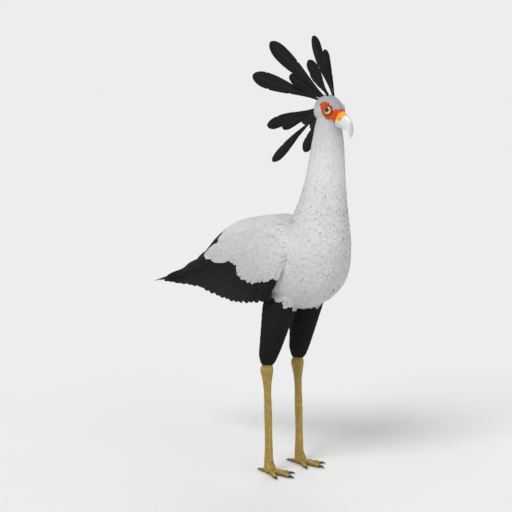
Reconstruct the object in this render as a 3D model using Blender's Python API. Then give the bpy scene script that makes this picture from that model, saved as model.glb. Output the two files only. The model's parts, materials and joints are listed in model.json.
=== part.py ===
"""Secretary bird standing upright with its crest raised, as life-size solids.

Metres, +Z up. The bird faces +X and its left side is +Y. Everything is first placed from the
ground between the feet, and is moved at the end so that the origin is on the ground under the
middle of the bird's length. Touching parts keep a small gap.
"""

import math

import bmesh
import bpy
import numpy as np
from mathutils import Matrix

GAP = 0.0003
SEED = 11

# Trunk and neck from the tail end to the throat: x, z, pitch of the spine in degrees, half width,
# reach above the spine, reach below it.
TRUNK = (
    (-0.310, 0.652, 18, 0.034, 0.038, 0.036),
    (-0.250, 0.668, 15, 0.060, 0.072, 0.062),
    (-0.170, 0.680, 10, 0.092, 0.110, 0.098),
    (-0.080, 0.680, 4, 0.118, 0.135, 0.130),
    (-0.010, 0.680, 6, 0.130, 0.146, 0.148),
    (0.055, 0.690, 24, 0.134, 0.148, 0.160),
    (0.107, 0.722, 42, 0.128, 0.132, 0.149),
    (0.135, 0.773, 62, 0.108, 0.099, 0.111),
    (0.146, 0.840, 76, 0.086, 0.078, 0.088),
    (0.158, 0.920, 83, 0.068, 0.064, 0.068),
    (0.166, 1.000, 86, 0.057, 0.055, 0.056),
    (0.171, 1.075, 87, 0.0475, 0.048, 0.047),
    (0.175, 1.125, 88, 0.0370, 0.042, 0.036),
    (0.178, 1.160, 88, 0.0240, 0.030, 0.024),
)
TRUNK_RINGS = 30
TRUNK_SIDES = 24
TAIL_END_PITCH = TRUNK[0][2]
# Cuts that part the torso, neck and head: x, z, and pitch of the direction that points headwards.
NECK_ROOT_CUT = (0.148, 0.850, 76)
THROAT_CUT = (0.170, 1.092, 118)

# The head is built about a point between the eyes. It nods, and turns to the bird's right.
HEAD_X = 0.179
HEAD_Z = 1.156
HEAD_SIZE = 1.07
NOD = -24
TURN = -8
NECK_TO_PIVOT = 0.012
# Nape to bill: x, z, pitch, half width, reach above, reach below.
HEAD = (
    (-0.0510, -0.004, 0, 0.006, 0.008, 0.014),
    (-0.0440, -0.002, 0, 0.0215, 0.026, 0.033),
    (-0.0300, 0.0, 0, 0.0305, 0.0375, 0.041),
    (-0.0100, 0.0, 0, 0.0345, 0.0430, 0.044),
    (0.0120, 0.0, 0, 0.0325, 0.0405, 0.042),
    (0.0300, 0.0, 0, 0.0265, 0.0325, 0.036),
    (0.0430, 0.0, 0, 0.0205, 0.0250, 0.0305),
    (0.0500, 0.0, 0, 0.0180, 0.0215, 0.0270),
)
HEAD_RINGS = 14
HEAD_SIDES = 22
UPPER_BILL = (
    (0.0503, -0.0100, 0, 0.0178, 0.0312, 0.0008),
    (0.0620, -0.0098, -3, 0.0162, 0.0305, 0.0008),
    (0.0760, -0.0100, -9, 0.0130, 0.0272, 0.0010),
    (0.0880, -0.0135, -24, 0.0094, 0.0217, 0.0012),
    (0.0970, -0.0195, -45, 0.0062, 0.0152, 0.0014),
    (0.1018, -0.0275, -68, 0.0034, 0.0078, 0.0014),
    (0.1020, -0.0360, -88, 0.0007, 0.0010, 0.0008),
)
LOWER_BILL = (
    (0.0503, -0.0121, 0, 0.0168, 0.0008, 0.0128),
    (0.0620, -0.0121, 0, 0.0144, 0.0008, 0.0110),
    (0.0740, -0.0125, 0, 0.0104, 0.0008, 0.0082),
    (0.0830, -0.0143, 0, 0.0062, 0.0008, 0.0052),
    (0.0880, -0.0162, 0, 0.0018, 0.0008, 0.0018),
)
UPPER_BILL_RINGS = 12
LOWER_BILL_RINGS = 8
BILL_SIDES = 14
CERE_END = 0.0630
NOSTRIL = (0.0572, 0.0146, 0.0055)
NOSTRIL_RADII = (0.0030, 0.0022, 0.0015)
NOSTRIL_SEGMENTS = 8
# The line of the mouth runs back over the cheek from the bill.
GAPE_BACK = (0.020, 0.0325, -0.0160)
GAPE_FRONT = (0.052, 0.0180, -0.0110)
GAPE_SLIT = 0.0010
GAPE_DEPTH = 0.0026

EYE_PLACE = (0.0140, 0.0208, 0.0090)
EYE_RADIUS = 0.0155
EYE_SEGMENTS = 14
EYE_LOOKS = (0.30, 0.95, 0.04)
LID_OUT = 0.0093
LID_RING = 0.0126
LID_ROLL = 0.0023
LID_SEGMENTS = 14
LID_SIDES = 5
BROW_PLACE = (0.0160, 0.0265, 0.0245)
BROW_RADII = (0.0208, 0.0059, 0.0049)
BROW_SEGMENTS = 10
BROW_TURN = -20
BROW_DROOP = 10

# Crest feathers of each side: angle above the line straight back in degrees, length, and the
# angle they stand out from the middle.
CREST_RIGHT = (
    (60, 0.125, 8),
    (43, 0.250, 12),
    (32, 0.130, 12),
    (17, 0.268, 9),
    (-15, 0.190, 9),
    (-24, 0.115, 18),
    (-41, 0.202, 11),
)
CREST_LEFT = (
    (64, 0.155, 9),
    (52, 0.236, 13),
    (32, 0.165, 16),
    (14, 0.235, 16),
    (-15, 0.160, 16),
    (-26, 0.120, 20),
    (-40, 0.170, 14),
)
CREST_TWIST = {-1: 18, 1: -4}
CREST_SUNK = 0.018
CREST_STEPS = (0.0, 0.25, 0.50, 0.72, 0.90, 1.0)
CREST_SHAPE = (0.13, 0.16, 0.55, 1.0, 0.84, 0.26)
CREST_WIDTH = 0.050
CREST_WIDTH_KEPT = 0.45
CREST_LONGEST = 0.268
CREST_CURVE = 0.035
CREST_SHAFT = 0.0024
# Where a crest feather is rooted on the head, by its angle: angle, x, z, distance from the middle.
CREST_ROOTS = (
    (-41, -0.034, -0.030, 0.012),
    (-17, -0.036, -0.010, 0.015),
    (2, -0.032, 0.008, 0.016),
    (19, -0.025, 0.020, 0.015),
    (42, -0.015, 0.028, 0.012),
    (62, -0.003, 0.032, 0.009),
)

# The closed wing's outer face from front to tip: x, middle height, half height, distance out.
WING_FACE = (
    (-0.500, 0.568, 0.014, 0.060),
    (-0.420, 0.588, 0.030, 0.068),
    (-0.320, 0.615, 0.055, 0.084),
    (-0.200, 0.642, 0.090, 0.110),
    (-0.100, 0.656, 0.106, 0.134),
    (0.000, 0.668, 0.108, 0.149),
    (0.070, 0.690, 0.085, 0.149),
    (0.120, 0.700, 0.045, 0.136),
)
WING_TOP_CURL = 0.27
WING_LOW_CURL = 0.12
WING_CURL_LIMIT = 1.2
SLOPE_STEP = 0.002
# The arm of the wing with its small coverts: x, top, bottom, thickness.
WING_ARM = (
    (0.116, 0.713, 0.692, 0.008),
    (0.102, 0.737, 0.668, 0.020),
    (0.055, 0.766, 0.640, 0.028),
    (-0.030, 0.772, 0.634, 0.031),
    (-0.100, 0.758, 0.644, 0.029),
    (-0.160, 0.733, 0.660, 0.025),
    (-0.215, 0.706, 0.672, 0.018),
    (-0.240, 0.692, 0.677, 0.010),
)
ARM_RINGS = 12
ARM_FACE_POINTS = 7
ARM_EDGE_THICK = 0.32
# Tiers of wing feathers: how many, the line of the roots and the line of the tips in (x, z) from
# the lowest feather to the highest, width, depth under the face at root and at tip, arch.
WING_TIERS = {
    "primaries": (
        7,
        ((-0.095, 0.664), (-0.120, 0.672), (-0.150, 0.682)),
        ((-0.370, 0.560), (-0.455, 0.562), (-0.500, 0.572), (-0.425, 0.604)),
        0.033,
        (-0.0150, -0.0150),
        0.006,
    ),
    "secondaries": (
        10,
        ((0.065, 0.660), (0.000, 0.652), (-0.080, 0.660), (-0.150, 0.684)),
        ((0.030, 0.566), (-0.085, 0.550), (-0.215, 0.554), (-0.330, 0.582), (-0.395, 0.618)),
        0.042,
        (-0.0100, -0.0080),
        0.007,
    ),
    "greater_coverts": (
        9,
        ((0.088, 0.680), (0.010, 0.662), (-0.080, 0.672), (-0.140, 0.692), (-0.185, 0.706)),
        ((0.050, 0.608), (-0.050, 0.596), (-0.140, 0.612), (-0.230, 0.640), (-0.318, 0.658)),
        0.043,
        (-0.0050, -0.0005),
        0.006,
    ),
}
WING_SHINGLE = 7
FLIGHT_STEPS = (0.0, 0.42, 0.86, 1.0)
FLIGHT_SHAPE = (0.45, 0.96, 0.88, 0.26)
SHAFT_THICK = 0.0016
SHAFT_TAPER = 0.55
VANE_THICK = 0.0007

# Tail feathers: the middle pair lies highest and is the longest, and each next pair is shorter,
# lower and turned further out.
TAIL_ROOT = (-0.285, 0.650)
TAIL_TIP = (-0.562, 0.554)
TAIL_PAIRS = 6
TAIL_SHORTENING = (0.0, 0.045, 0.070, 0.090, 0.110, 0.130)
TAIL_WIDTH = 0.036
TAIL_STEP_DOWN = 0.0015
TAIL_HALF_GAP = 0.011
TAIL_STEP_OUT = 0.55
TAIL_FIRST_OUT = 0.35
TAIL_ARCH = 0.010
TAIL_STUMP = (
    (-0.3103, 0.652, 18, 0.033, 0.036, 0.034),
    (-0.345, 0.638, 20, 0.029, 0.026, 0.026),
    (-0.372, 0.628, 20, 0.022, 0.013, 0.016),
    (-0.388, 0.622, 20, 0.012, 0.004, 0.007),
)
STUMP_RINGS = 5
STUMP_SIDES = 12
# Short feathers over and under the tail's root: root height, slope, length.
TAIL_COVERTS = 3
TAIL_COVERT_ROWS = {1: (0.660, -0.50, 0.110), -1: (0.616, -0.34, 0.090)}
TAIL_COVERT_ROOT = -0.322
TAIL_COVERT_APART = 0.018
TAIL_COVERT_FAN = 0.075
TAIL_COVERT_ROLL = 0.09
TAIL_COVERT_WIDTH = 0.026
TAIL_COVERT_STEPS = (0.0, 0.45, 0.82, 1.0)
TAIL_COVERT_SHAPE = (0.5, 1.0, 0.8, 0.25)

# Legs: half the distance between them, and rings from the top down: x, z, half depth, half width.
STANCE = 0.0760
THIGH = (
    (0.052, 0.640, 0.052, 0.034),
    (0.046, 0.590, 0.062, 0.041),
    (0.034, 0.540, 0.060, 0.042),
    (0.020, 0.480, 0.050, 0.038),
    (0.006, 0.420, 0.040, 0.032),
    (-0.004, 0.380, 0.033, 0.028),
    (-0.006, 0.365, 0.029, 0.0255),
)
THIGH_LEANS_IN = 0.014
THIGH_RINGS = 11
THIGH_SIDES = 16
SHANK = (
    (-0.006, 0.3647, 0.0170, 0.0140),
    (-0.008, 0.352, 0.0185, 0.0150),
    (-0.010, 0.336, 0.0225, 0.0180),
    (-0.009, 0.318, 0.0195, 0.0160),
    (-0.008, 0.296, 0.0155, 0.0128),
    (-0.004, 0.190, 0.0138, 0.0110),
    (-0.001, 0.080, 0.0140, 0.0115),
    (0.000, 0.036, 0.0165, 0.0145),
)
SHANK_SIDES = 9
JOINT_HEIGHTS = (0.352, 0.342, 0.332, 0.320)
SCUTES = 12
SCUTE_RISE = 0.0011
SCUTE_STEP = 0.0008
SCUTE_TOP = 0.305
SCUTE_BOTTOM = 0.050
ANKLE = (
    (0.000, 0.0357, 0.0165, 0.0145),
    (0.003, 0.024, 0.0190, 0.0170),
    (0.005, 0.012, 0.0195, 0.0175),
    (0.005, 0.002, 0.0160, 0.0145),
)
ANKLE_SIDES = 14
TOES_AHEAD = 0.004
# Toes: turn from straight ahead in degrees (inwards is positive), length, and size.
TOES = {
    "middle": (0, 0.080, 1.0),
    "inner": (34, 0.062, 0.90),
    "outer": (-34, 0.064, 0.90),
    "hind": (176, 0.040, 0.85),
}
TOE_HEIGHTS = (0.0125, 0.0092, 0.0098, 0.0078, 0.0084, 0.0060)
TOE_STEPS = (0.0, 0.30, 0.48, 0.66, 0.84, 1.0)
TOE_SIDES = 8
SOLE_CUT = 0.0012
CLAW_LENGTH = 0.021
CLAW_BEND = -30
CLAW_FLAT = 0.8
CLAW_SIDES = 8
# Share of the claw's length, half thickness, height over the end of the toe.
CLAW_STEPS = ((0.0, 0.0048, 0.0006), (0.35, 0.0043, 0.0018), (0.7, 0.0028, 0.0008), (1.0, 0.0007, -0.0016))
SMOOTH_UNDER = 40

COLOURS = {
    "grey_plumage": ((0.56, 0.56, 0.57), 0.75),
    "black_plumage": ((0.012, 0.012, 0.014), 0.55),
    "wing_plumage": ((0.30, 0.30, 0.31), 0.65),
    "cere_skin": ((0.85, 0.42, 0.06), 0.45),
    "bill_horn": ((0.66, 0.67, 0.66), 0.30),
    "leg_scales": ((0.50, 0.36, 0.13), 0.60),
    "claw_horn": ((0.05, 0.045, 0.04), 0.35),
    "eye_glass": ((0.80, 0.45, 0.10), 0.10),
}


def clear_scene():
    for item in list(bpy.data.objects):
        bpy.data.objects.remove(item)


def new_collection(name):
    made = bpy.data.collections.new(name)
    bpy.context.scene.collection.children.link(made)
    return made


def material(slot):
    """One Principled material for each finish, made once."""
    if slot in bpy.data.materials:
        return bpy.data.materials[slot]
    colour, roughness = COLOURS[slot]
    made = bpy.data.materials.new(slot)
    made.use_nodes = True
    shader = made.node_tree.nodes["Principled BSDF"]
    shader.inputs["Base Color"].default_value = (*colour, 1)
    shader.inputs["Roughness"].default_value = roughness
    made.diffuse_color = (*colour, 1)
    return made


def curve_through(rows, by_length=True):
    """A smooth function of 0 to 1 (or of the first column) through rows of numbers."""
    rows = np.array(rows, float)
    if by_length:
        steps = np.linalg.norm(np.diff(rows[:, :2], axis=0), axis=1)
        keys = np.concatenate([[0.0], np.cumsum(steps)]) / steps.sum()
    else:
        keys = rows[:, 0]
    slopes = np.gradient(rows, keys, axis=0)

    def read(at):
        at = np.clip(at, keys[0], keys[-1])
        low = np.clip(np.searchsorted(keys, at, side="right") - 1, 0, len(keys) - 2)
        span = keys[low + 1] - keys[low]
        share = (at - keys[low]) / span
        square, cube = share**2, share**3
        return (
            (2 * cube - 3 * square + 1) * rows[low]
            + (cube - 2 * square + share) * span * slopes[low]
            + (3 * square - 2 * cube) * rows[low + 1]
            + (cube - square) * span * slopes[low + 1]
        )

    return read


def oval(centre, side, up, half, above, below, sides):
    """Points round an egg-shaped section, flat in the plane of side and up."""
    turn = np.linspace(0, 2 * math.pi, sides, endpoint=False)
    lift = np.where(np.sin(turn) > 0, above, below) * np.sin(turn)
    across = half * np.cos(turn)
    return np.asarray(centre) + np.outer(across, side) + np.outer(lift, up)


def spine_ring(row, sides, grow=0.0):
    """A section square to a spine that lies in the bird's middle plane."""
    x, z, pitch, half, above, below = row
    lean = math.radians(pitch)
    up = (-math.sin(lean), 0, math.cos(lean))
    return oval((x, 0, z), (0, 1, 0), up, half + grow, above + grow, below + grow, sides)


def mesh_object(name, points, faces, slot, collection):
    mesh = bpy.data.meshes.new(name)
    mesh.from_pydata([tuple(p) for p in points], [], faces)
    shell = bmesh.new()
    shell.from_mesh(mesh)
    bmesh.ops.recalc_face_normals(shell, faces=shell.faces)
    shell.to_mesh(mesh)
    shell.free()
    mesh.materials.append(material(slot))
    made = bpy.data.objects.new(name, mesh)
    collection.objects.link(made)
    return made


def loft(name, rings, slot, collection):
    """A closed skin over rings of equal count, each end closed to its middle."""
    count = len(rings[0])
    points = [p for ring in rings for p in ring]
    faces = []
    for low in range(len(rings) - 1):
        for k in range(count):
            after = (k + 1) % count
            near, far = low * count, (low + 1) * count
            faces += [(near + k, near + after, far + after), (near + k, far + after, far + k)]
    for ring in (0, len(rings) - 1):
        middle = len(points)
        points.append(np.mean(rings[ring], axis=0))
        faces += [(ring * count + k, ring * count + (k + 1) % count, middle) for k in range(count)]
    return mesh_object(name, points, faces, slot, collection)


def unit(vectors):
    vectors = np.asarray(vectors, float)
    return vectors / np.linalg.norm(vectors, axis=-1, keepdims=True)


def vane(name, path, across, widths, slot, collection, shaft=SHAFT_THICK, edge=VANE_THICK):
    """A closed flat feather along path: six points a station, split alike on both faces."""
    path = np.asarray(path, float)
    normal = unit(np.cross(np.gradient(path, axis=0), across))
    thin = np.linspace(1.0, SHAFT_TAPER, len(path))
    points = []
    for p, a, n, w, t in zip(path, across, normal, widths, thin):
        side, rim, ridge = a * w / 2, n * edge / 2, n * shaft * t / 2
        points += [p - side + rim, p + ridge, p + side + rim, p + side - rim, p - ridge, p - side - rim]
    faces = []
    for k in range(len(path) - 1):
        a, b = 6 * k, 6 * k + 6
        for one, two in ((0, 1), (1, 2), (5, 4), (4, 3)):
            faces += [(a + one, a + two, b + two), (a + one, b + two, b + one)]
        for one, two in ((2, 3), (5, 0)):
            faces += [(a + one, a + two, b + two), (a + one, b + two, b + one)]
    for end in (0, 6 * (len(path) - 1)):
        faces += [(end, end + 1, end + 4, end + 5), (end + 1, end + 2, end + 3, end + 4)]
    return mesh_object(name, points, faces, slot, collection)


def applied(target):
    """The object with its modifiers turned into mesh."""
    graph = bpy.context.evaluated_depsgraph_get()
    mesh = bpy.data.meshes.new_from_object(target.evaluated_get(graph))
    target.modifiers.clear()
    target.data = mesh
    return target


def boolean(target, other, operation):
    step = target.modifiers.new(operation.lower(), "BOOLEAN")
    step.operation = operation
    step.solver = "EXACT"
    step.object = other
    return applied(target)


def fuse(target, pieces):
    """One union of the target with a whole collection, whose objects are then removed."""
    step = target.modifiers.new("join", "BOOLEAN")
    step.operation = "UNION"
    step.solver = "EXACT"
    step.operand_type = "COLLECTION"
    step.collection = pieces
    applied(target)
    for item in list(pieces.objects):
        bpy.data.objects.remove(item)
    bpy.data.collections.remove(pieces)
    return target


def keep_largest(target):
    """Drops every closed surface but the one with the largest area."""
    shell = bmesh.new()
    shell.from_mesh(target.data)
    groups, seen = [], set()
    for start in shell.faces:
        if start in seen:
            continue
        group, queue = [], [start]
        seen.add(start)
        while queue:
            face = queue.pop()
            group.append(face)
            for edge in face.edges:
                for other in edge.link_faces:
                    if other not in seen:
                        seen.add(other)
                        queue.append(other)
        groups.append(group)
    best = max(groups, key=lambda g: sum(f.calc_area() for f in g))
    loose = [f for g in groups if g is not best for f in g]
    bmesh.ops.delete(shell, geom=loose, context="FACES")
    shell.to_mesh(target.data)
    shell.free()
    return target


def half_space(name, point, direction, collection, size=1.6):
    """A block on the side of a plane that direction points to; the plane runs straight across."""
    shell = bmesh.new()
    bmesh.ops.create_cube(shell, size=size)
    bmesh.ops.translate(shell, verts=shell.verts, vec=(size / 2, 0, 0))
    mesh = bpy.data.meshes.new(name)
    shell.to_mesh(mesh)
    shell.free()
    direction = unit(direction)
    across = np.array((0.0, 1.0, 0.0))
    frame = Matrix(np.column_stack([direction, across, np.cross(direction, across)]).tolist())
    mesh.transform(Matrix.Translation(point) @ frame.to_4x4())
    made = bpy.data.objects.new(name, mesh)
    collection.objects.link(made)
    hide(made)
    return made


def ball(name, centre, radii, segments, frame, slot, collection):
    shell = bmesh.new()
    bmesh.ops.create_uvsphere(shell, u_segments=segments, v_segments=segments // 2, radius=1.0)
    mesh = bpy.data.meshes.new(name)
    shell.to_mesh(mesh)
    shell.free()
    mesh.transform(Matrix.Translation(centre) @ frame.to_4x4() @ Matrix.Diagonal((*radii, 1)))
    mesh.materials.append(material(slot))
    made = bpy.data.objects.new(name, mesh)
    collection.objects.link(made)
    return made


def hide(item):
    item.hide_render = True
    item.display_type = "WIRE"


def copy_of(source, name, collection):
    made = bpy.data.objects.new(name, source.data.copy())
    collection.objects.link(made)
    return made


def mirrored(source, name, collection):
    """The same piece on the bird's other side."""
    made = copy_of(source, name, collection)
    made.data.transform(Matrix.Diagonal((1, -1, 1, 1)))
    made.data.flip_normals()
    return made


def drop(item):
    bpy.data.objects.remove(item)


def cut_away(target, point, direction, cutters):
    """Removes what lies past a plane."""
    block = half_space("cut_block", point, direction, cutters)
    boolean(target, block, "DIFFERENCE")
    drop(block)
    return target


def head_point(x, y, z):
    nod = math.radians(NOD)
    return (
        HEAD_X + HEAD_SIZE * (x * math.cos(nod) - z * math.sin(nod)),
        HEAD_SIZE * y,
        HEAD_Z + HEAD_SIZE * (x * math.sin(nod) + z * math.cos(nod)),
    )


def head_row(row):
    """A section given in the head's own frame, as one in the bird's."""
    x, z, pitch, half, above, below = row
    place = head_point(x, 0, z)
    return (place[0], place[2], pitch + NOD, HEAD_SIZE * half, HEAD_SIZE * above, HEAD_SIZE * below)


def head_frame():
    return Matrix.Rotation(-math.radians(NOD), 3, "Y")


def turned(piece):
    """The piece of the head swung round with the head's turn to its right."""
    pivot = Matrix.Translation((HEAD_X - NECK_TO_PIVOT, 0, HEAD_Z))
    piece.data.transform(pivot @ Matrix.Rotation(math.radians(TURN), 4, "Z") @ pivot.inverted())
    return piece


def head_loft(name, stations, rings, sides, slot, collection):
    read = curve_through(stations)
    rows = [head_row(read(t)) for t in np.linspace(0, 1, rings)]
    return loft(name, [spine_ring(row, sides) for row in rows], slot, collection)


def trunk_rings(grow=0.0):
    read = curve_through(TRUNK)
    return [spine_ring(read(t), TRUNK_SIDES, grow) for t in np.linspace(0, 1, TRUNK_RINGS)]


def cut_direction(cut, sign):
    lean = math.radians(cut[2])
    return (sign * math.cos(lean), 0, sign * math.sin(lean))


def cut_point(cut, along):
    lean = math.radians(cut[2])
    return (cut[0] + along * math.cos(lean), 0, cut[1] + along * math.sin(lean))


def eye_frame(side):
    """Axes whose Z is the way the eye looks."""
    look = unit((EYE_LOOKS[0], side * EYE_LOOKS[1], EYE_LOOKS[2]))
    ahead = unit(np.cross((0, 0, 1), look))
    return Matrix(np.column_stack([ahead, np.cross(look, ahead), look]).tolist())


def lid_ring(name, side, collection):
    """A rolled rim round the eye, fused to the face."""
    look = unit((EYE_LOOKS[0], side * EYE_LOOKS[1], EYE_LOOKS[2]))
    centre = np.array(head_point(EYE_PLACE[0], side * EYE_PLACE[1], EYE_PLACE[2])) + look * LID_OUT
    bpy.ops.mesh.primitive_torus_add(
        major_segments=LID_SEGMENTS,
        minor_segments=LID_SIDES,
        major_radius=LID_RING,
        minor_radius=LID_ROLL,
    )
    made = bpy.context.object
    made.name = name
    made.data.transform(Matrix.Translation(centre) @ eye_frame(side).to_4x4())
    for other in made.users_collection:
        other.objects.unlink(made)
    collection.objects.link(made)
    return made


def gape_slit(name, side, collection):
    """A thin slat that presses the line of the mouth into the cheek."""
    back, front = (
        np.array(head_point(p[0], side * p[1], p[2])) for p in (GAPE_BACK, GAPE_FRONT)
    )
    along = unit(front - back)
    out = unit(np.cross(along, (0, 0, side)))
    frame = Matrix(np.column_stack([along, out, np.cross(along, out)]).tolist())
    length = float(np.linalg.norm(front - back))
    shell = bmesh.new()
    bmesh.ops.create_cube(shell, size=1.0)
    mesh = bpy.data.meshes.new(name)
    shell.to_mesh(mesh)
    shell.free()
    size = Matrix.Diagonal((length, 2 * GAPE_DEPTH, GAPE_SLIT, 1))
    mesh.transform(Matrix.Translation((back + front) / 2) @ frame.to_4x4() @ size)
    made = bpy.data.objects.new(name, mesh)
    collection.objects.link(made)
    hide(made)
    return made


def crest_vane(name, side, angle, length, spread, collection):
    """A spoon-shaped crest feather, narrow at its root and broad near its tip."""
    roots = curve_through(CREST_ROOTS, by_length=False)
    _, x, z, out = roots(float(angle))
    root = np.array(head_point(x, side * out, z))
    spread, lift = math.radians(spread), math.radians(angle)
    way = np.array(
        (-math.cos(lift) * math.cos(spread), side * math.sin(spread), math.sin(lift) * math.cos(spread))
    )
    over = unit(np.cross((0, 1, 0), way))
    twist = math.radians(CREST_TWIST[side])
    flat = over * math.cos(twist) + np.cross(way, over) * math.sin(twist)
    steps = np.array(CREST_STEPS)
    bend = CREST_CURVE * length * np.sin(steps * math.pi / 2) ** 2
    path = root + np.outer(steps * (length + CREST_SUNK), way) - np.outer(bend, over)
    across = np.repeat([flat], len(steps), axis=0)
    width = CREST_WIDTH * (CREST_WIDTH_KEPT + (1 - CREST_WIDTH_KEPT) * length / CREST_LONGEST)
    widths = np.array(CREST_SHAPE) * width
    return vane(name, path, across, widths, "black_plumage", collection, shaft=CREST_SHAFT)


def build_trunk_and_head(parts, cutters):
    """Models the body, neck and head whole, then parts them with thin cuts."""
    whole = loft("whole", trunk_rings(), "grey_plumage", parts)
    skull = turned(head_loft("skull", HEAD, HEAD_RINGS, HEAD_SIDES, "grey_plumage", parts))
    boolean(whole, skull, "UNION")
    drop(skull)
    torso = copy_of(whole, "torso", parts)
    neck = copy_of(whole, "neck", parts)
    whole.name = "head"
    cut_away(torso, cut_point(NECK_ROOT_CUT, -GAP / 2), cut_direction(NECK_ROOT_CUT, 1), cutters)
    cut_away(neck, cut_point(NECK_ROOT_CUT, GAP / 2), cut_direction(NECK_ROOT_CUT, -1), cutters)
    cut_away(neck, cut_point(THROAT_CUT, -GAP / 2), cut_direction(THROAT_CUT, 1), cutters)
    cut_away(whole, cut_point(THROAT_CUT, GAP / 2), cut_direction(THROAT_CUT, -1), cutters)
    for item in (torso, neck, whole):
        keep_largest(item)
    return torso, neck, whole


def build_brow(side, collection):
    """The ridge over an eye, which slopes down to the bill."""
    tilt = Matrix.Rotation(math.radians(side * BROW_TURN), 3, "Z")
    droop = Matrix.Rotation(math.radians(BROW_DROOP), 3, "Y")
    place = head_point(BROW_PLACE[0], side * BROW_PLACE[1], BROW_PLACE[2])
    return ball("brow", place, BROW_RADII, BROW_SEGMENTS, tilt @ droop, "grey_plumage", collection)


def build_face(head, parts, cutters):
    """Adds brows and lids to the head, sets the eyes in and presses in the line of the mouth."""
    for side, word in ((-1, "right"), (1, "left")):
        extras = new_collection("face_extras")
        turned(lid_ring("lid", side, extras))
        turned(build_brow(side, extras))
        fuse(head, extras)
        centre = head_point(EYE_PLACE[0], side * EYE_PLACE[1], EYE_PLACE[2])
        frame = eye_frame(side)
        room = (EYE_RADIUS + GAP,) * 3
        socket = turned(ball("socket", centre, room, EYE_SEGMENTS, frame, "eye_glass", cutters))
        boolean(head, socket, "DIFFERENCE")
        drop(socket)
        size = (EYE_RADIUS,) * 3
        turned(ball("eye_" + word, centre, size, EYE_SEGMENTS, frame, "eye_glass", parts))
        slit = turned(gape_slit("gape", side, cutters))
        boolean(head, slit, "DIFFERENCE")
        drop(slit)


def build_crest(head):
    crest = new_collection("crest_vanes")
    for side, feathers in ((-1, CREST_RIGHT), (1, CREST_LEFT)):
        for k, (angle, length, spread) in enumerate(feathers):
            turned(crest_vane(f"crest_{side}_{k}", side, angle, length, spread, crest))
    fuse(head, crest)
    keep_largest(head)


def build_bill(parts, cutters):
    """The fleshy cere with its nostrils, the hooked upper bill and the lower bill."""
    cere = head_loft("cere", UPPER_BILL, UPPER_BILL_RINGS, BILL_SIDES, "cere_skin", parts)
    upper = copy_of(cere, "bill_upper", parts)
    upper.data.materials.clear()
    upper.data.materials.append(material("bill_horn"))
    nod = math.radians(NOD)
    ahead = (math.cos(nod), 0, math.sin(nod))
    behind = (-ahead[0], 0, -ahead[2])
    cut_away(cere, head_point(CERE_END - GAP / 2, 0, 0), ahead, cutters)
    cut_away(upper, head_point(CERE_END + GAP / 2, 0, 0), behind, cutters)
    for side in (-1, 1):
        place = head_point(NOSTRIL[0], side * NOSTRIL[1], NOSTRIL[2])
        frame = head_frame()
        pit = ball("nostril", place, NOSTRIL_RADII, NOSTRIL_SEGMENTS, frame, "cere_skin", cutters)
        boolean(cere, pit, "DIFFERENCE")
        drop(pit)
    lower = head_loft("bill_lower", LOWER_BILL, LOWER_BILL_RINGS, BILL_SIDES, "bill_horn", parts)
    for piece in (cere, upper, lower):
        turned(piece)


def wing_face(x, z):
    """How far out the closed wing's face stands at a place on it."""
    _, middle, half, out = WING_READ(x)
    height = np.clip((z - middle) / half, -WING_CURL_LIMIT, WING_CURL_LIMIT)
    curl = WING_TOP_CURL if height > 0 else WING_LOW_CURL
    return out * (1 - curl * height**2)


def wing_place(x, z, depth=0.0):
    """A point on the right wing's face and the way out of it."""
    slope_x = (wing_face(x + SLOPE_STEP, z) - wing_face(x - SLOPE_STEP, z)) / (2 * SLOPE_STEP)
    slope_z = (wing_face(x, z + SLOPE_STEP) - wing_face(x, z - SLOPE_STEP)) / (2 * SLOPE_STEP)
    out = unit((-slope_x, -1.0, -slope_z))
    return np.array((x, -wing_face(x, z), z)) + out * depth, out


def wing_arm(collection):
    """The wing's fleshy front with its small coverts, a lens that follows the face."""
    read = curve_through(WING_ARM)
    rings = []
    for t in np.linspace(0, 1, ARM_RINGS):
        x, top, bottom, thick = read(t)
        outer = []
        inner = []
        for share in np.linspace(0, 1, ARM_FACE_POINTS):
            z = top + (bottom - top) * share
            belly = ARM_EDGE_THICK + (1 - ARM_EDGE_THICK) * math.sin(math.pi * share)
            outer.append(wing_place(x, z)[0])
            inner.append(wing_place(x, z, -thick * belly)[0])
        rings.append(np.array(outer + inner[::-1]))
    return loft("wing_right", rings, "wing_plumage", collection)


def wing_vane(name, root, tip, width, depths, arch, collection):
    """A feather laid along the wing's face, its lower edge lifted over the next one down."""
    path = []
    out = []
    for s in FLIGHT_STEPS:
        x, z = root + (tip - root) * s
        z += arch * math.sin(math.pi * s)
        place, way = wing_place(x, z, depths[0] + (depths[1] - depths[0]) * s)
        path.append(place)
        out.append(way)
    along = unit(np.gradient(np.array(path), axis=0))
    down = unit(np.cross(out, along))
    down *= -np.sign(down[:, 2:3])
    lean = math.radians(WING_SHINGLE)
    across = down * math.cos(lean) + np.array(out) * math.sin(lean)
    return vane(name, path, across, np.array(FLIGHT_SHAPE) * width, "wing_plumage", collection)


def wing_tier(name, tier, rng, collection):
    count, roots, tips, width, depths, arch = tier
    root_line = curve_through(roots)
    tip_line = curve_through(tips)
    for k in range(count):
        share = k / (count - 1)
        root = root_line(share)
        tip = root + (tip_line(share) - root) * rng.uniform(0.97, 1.02)
        broad = width * rng.uniform(0.95, 1.05)
        wing_vane(f"{name}_{k}", root, tip, broad, depths, arch, collection)


def clear_of_body(piece, cutters):
    """Cuts a piece back to the body's surface, with the small gap that touching parts keep."""
    body = loft("body_space", trunk_rings(grow=GAP), "grey_plumage", cutters)
    hide(body)
    boolean(piece, body, "DIFFERENCE")
    drop(body)
    return keep_largest(piece)


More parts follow.
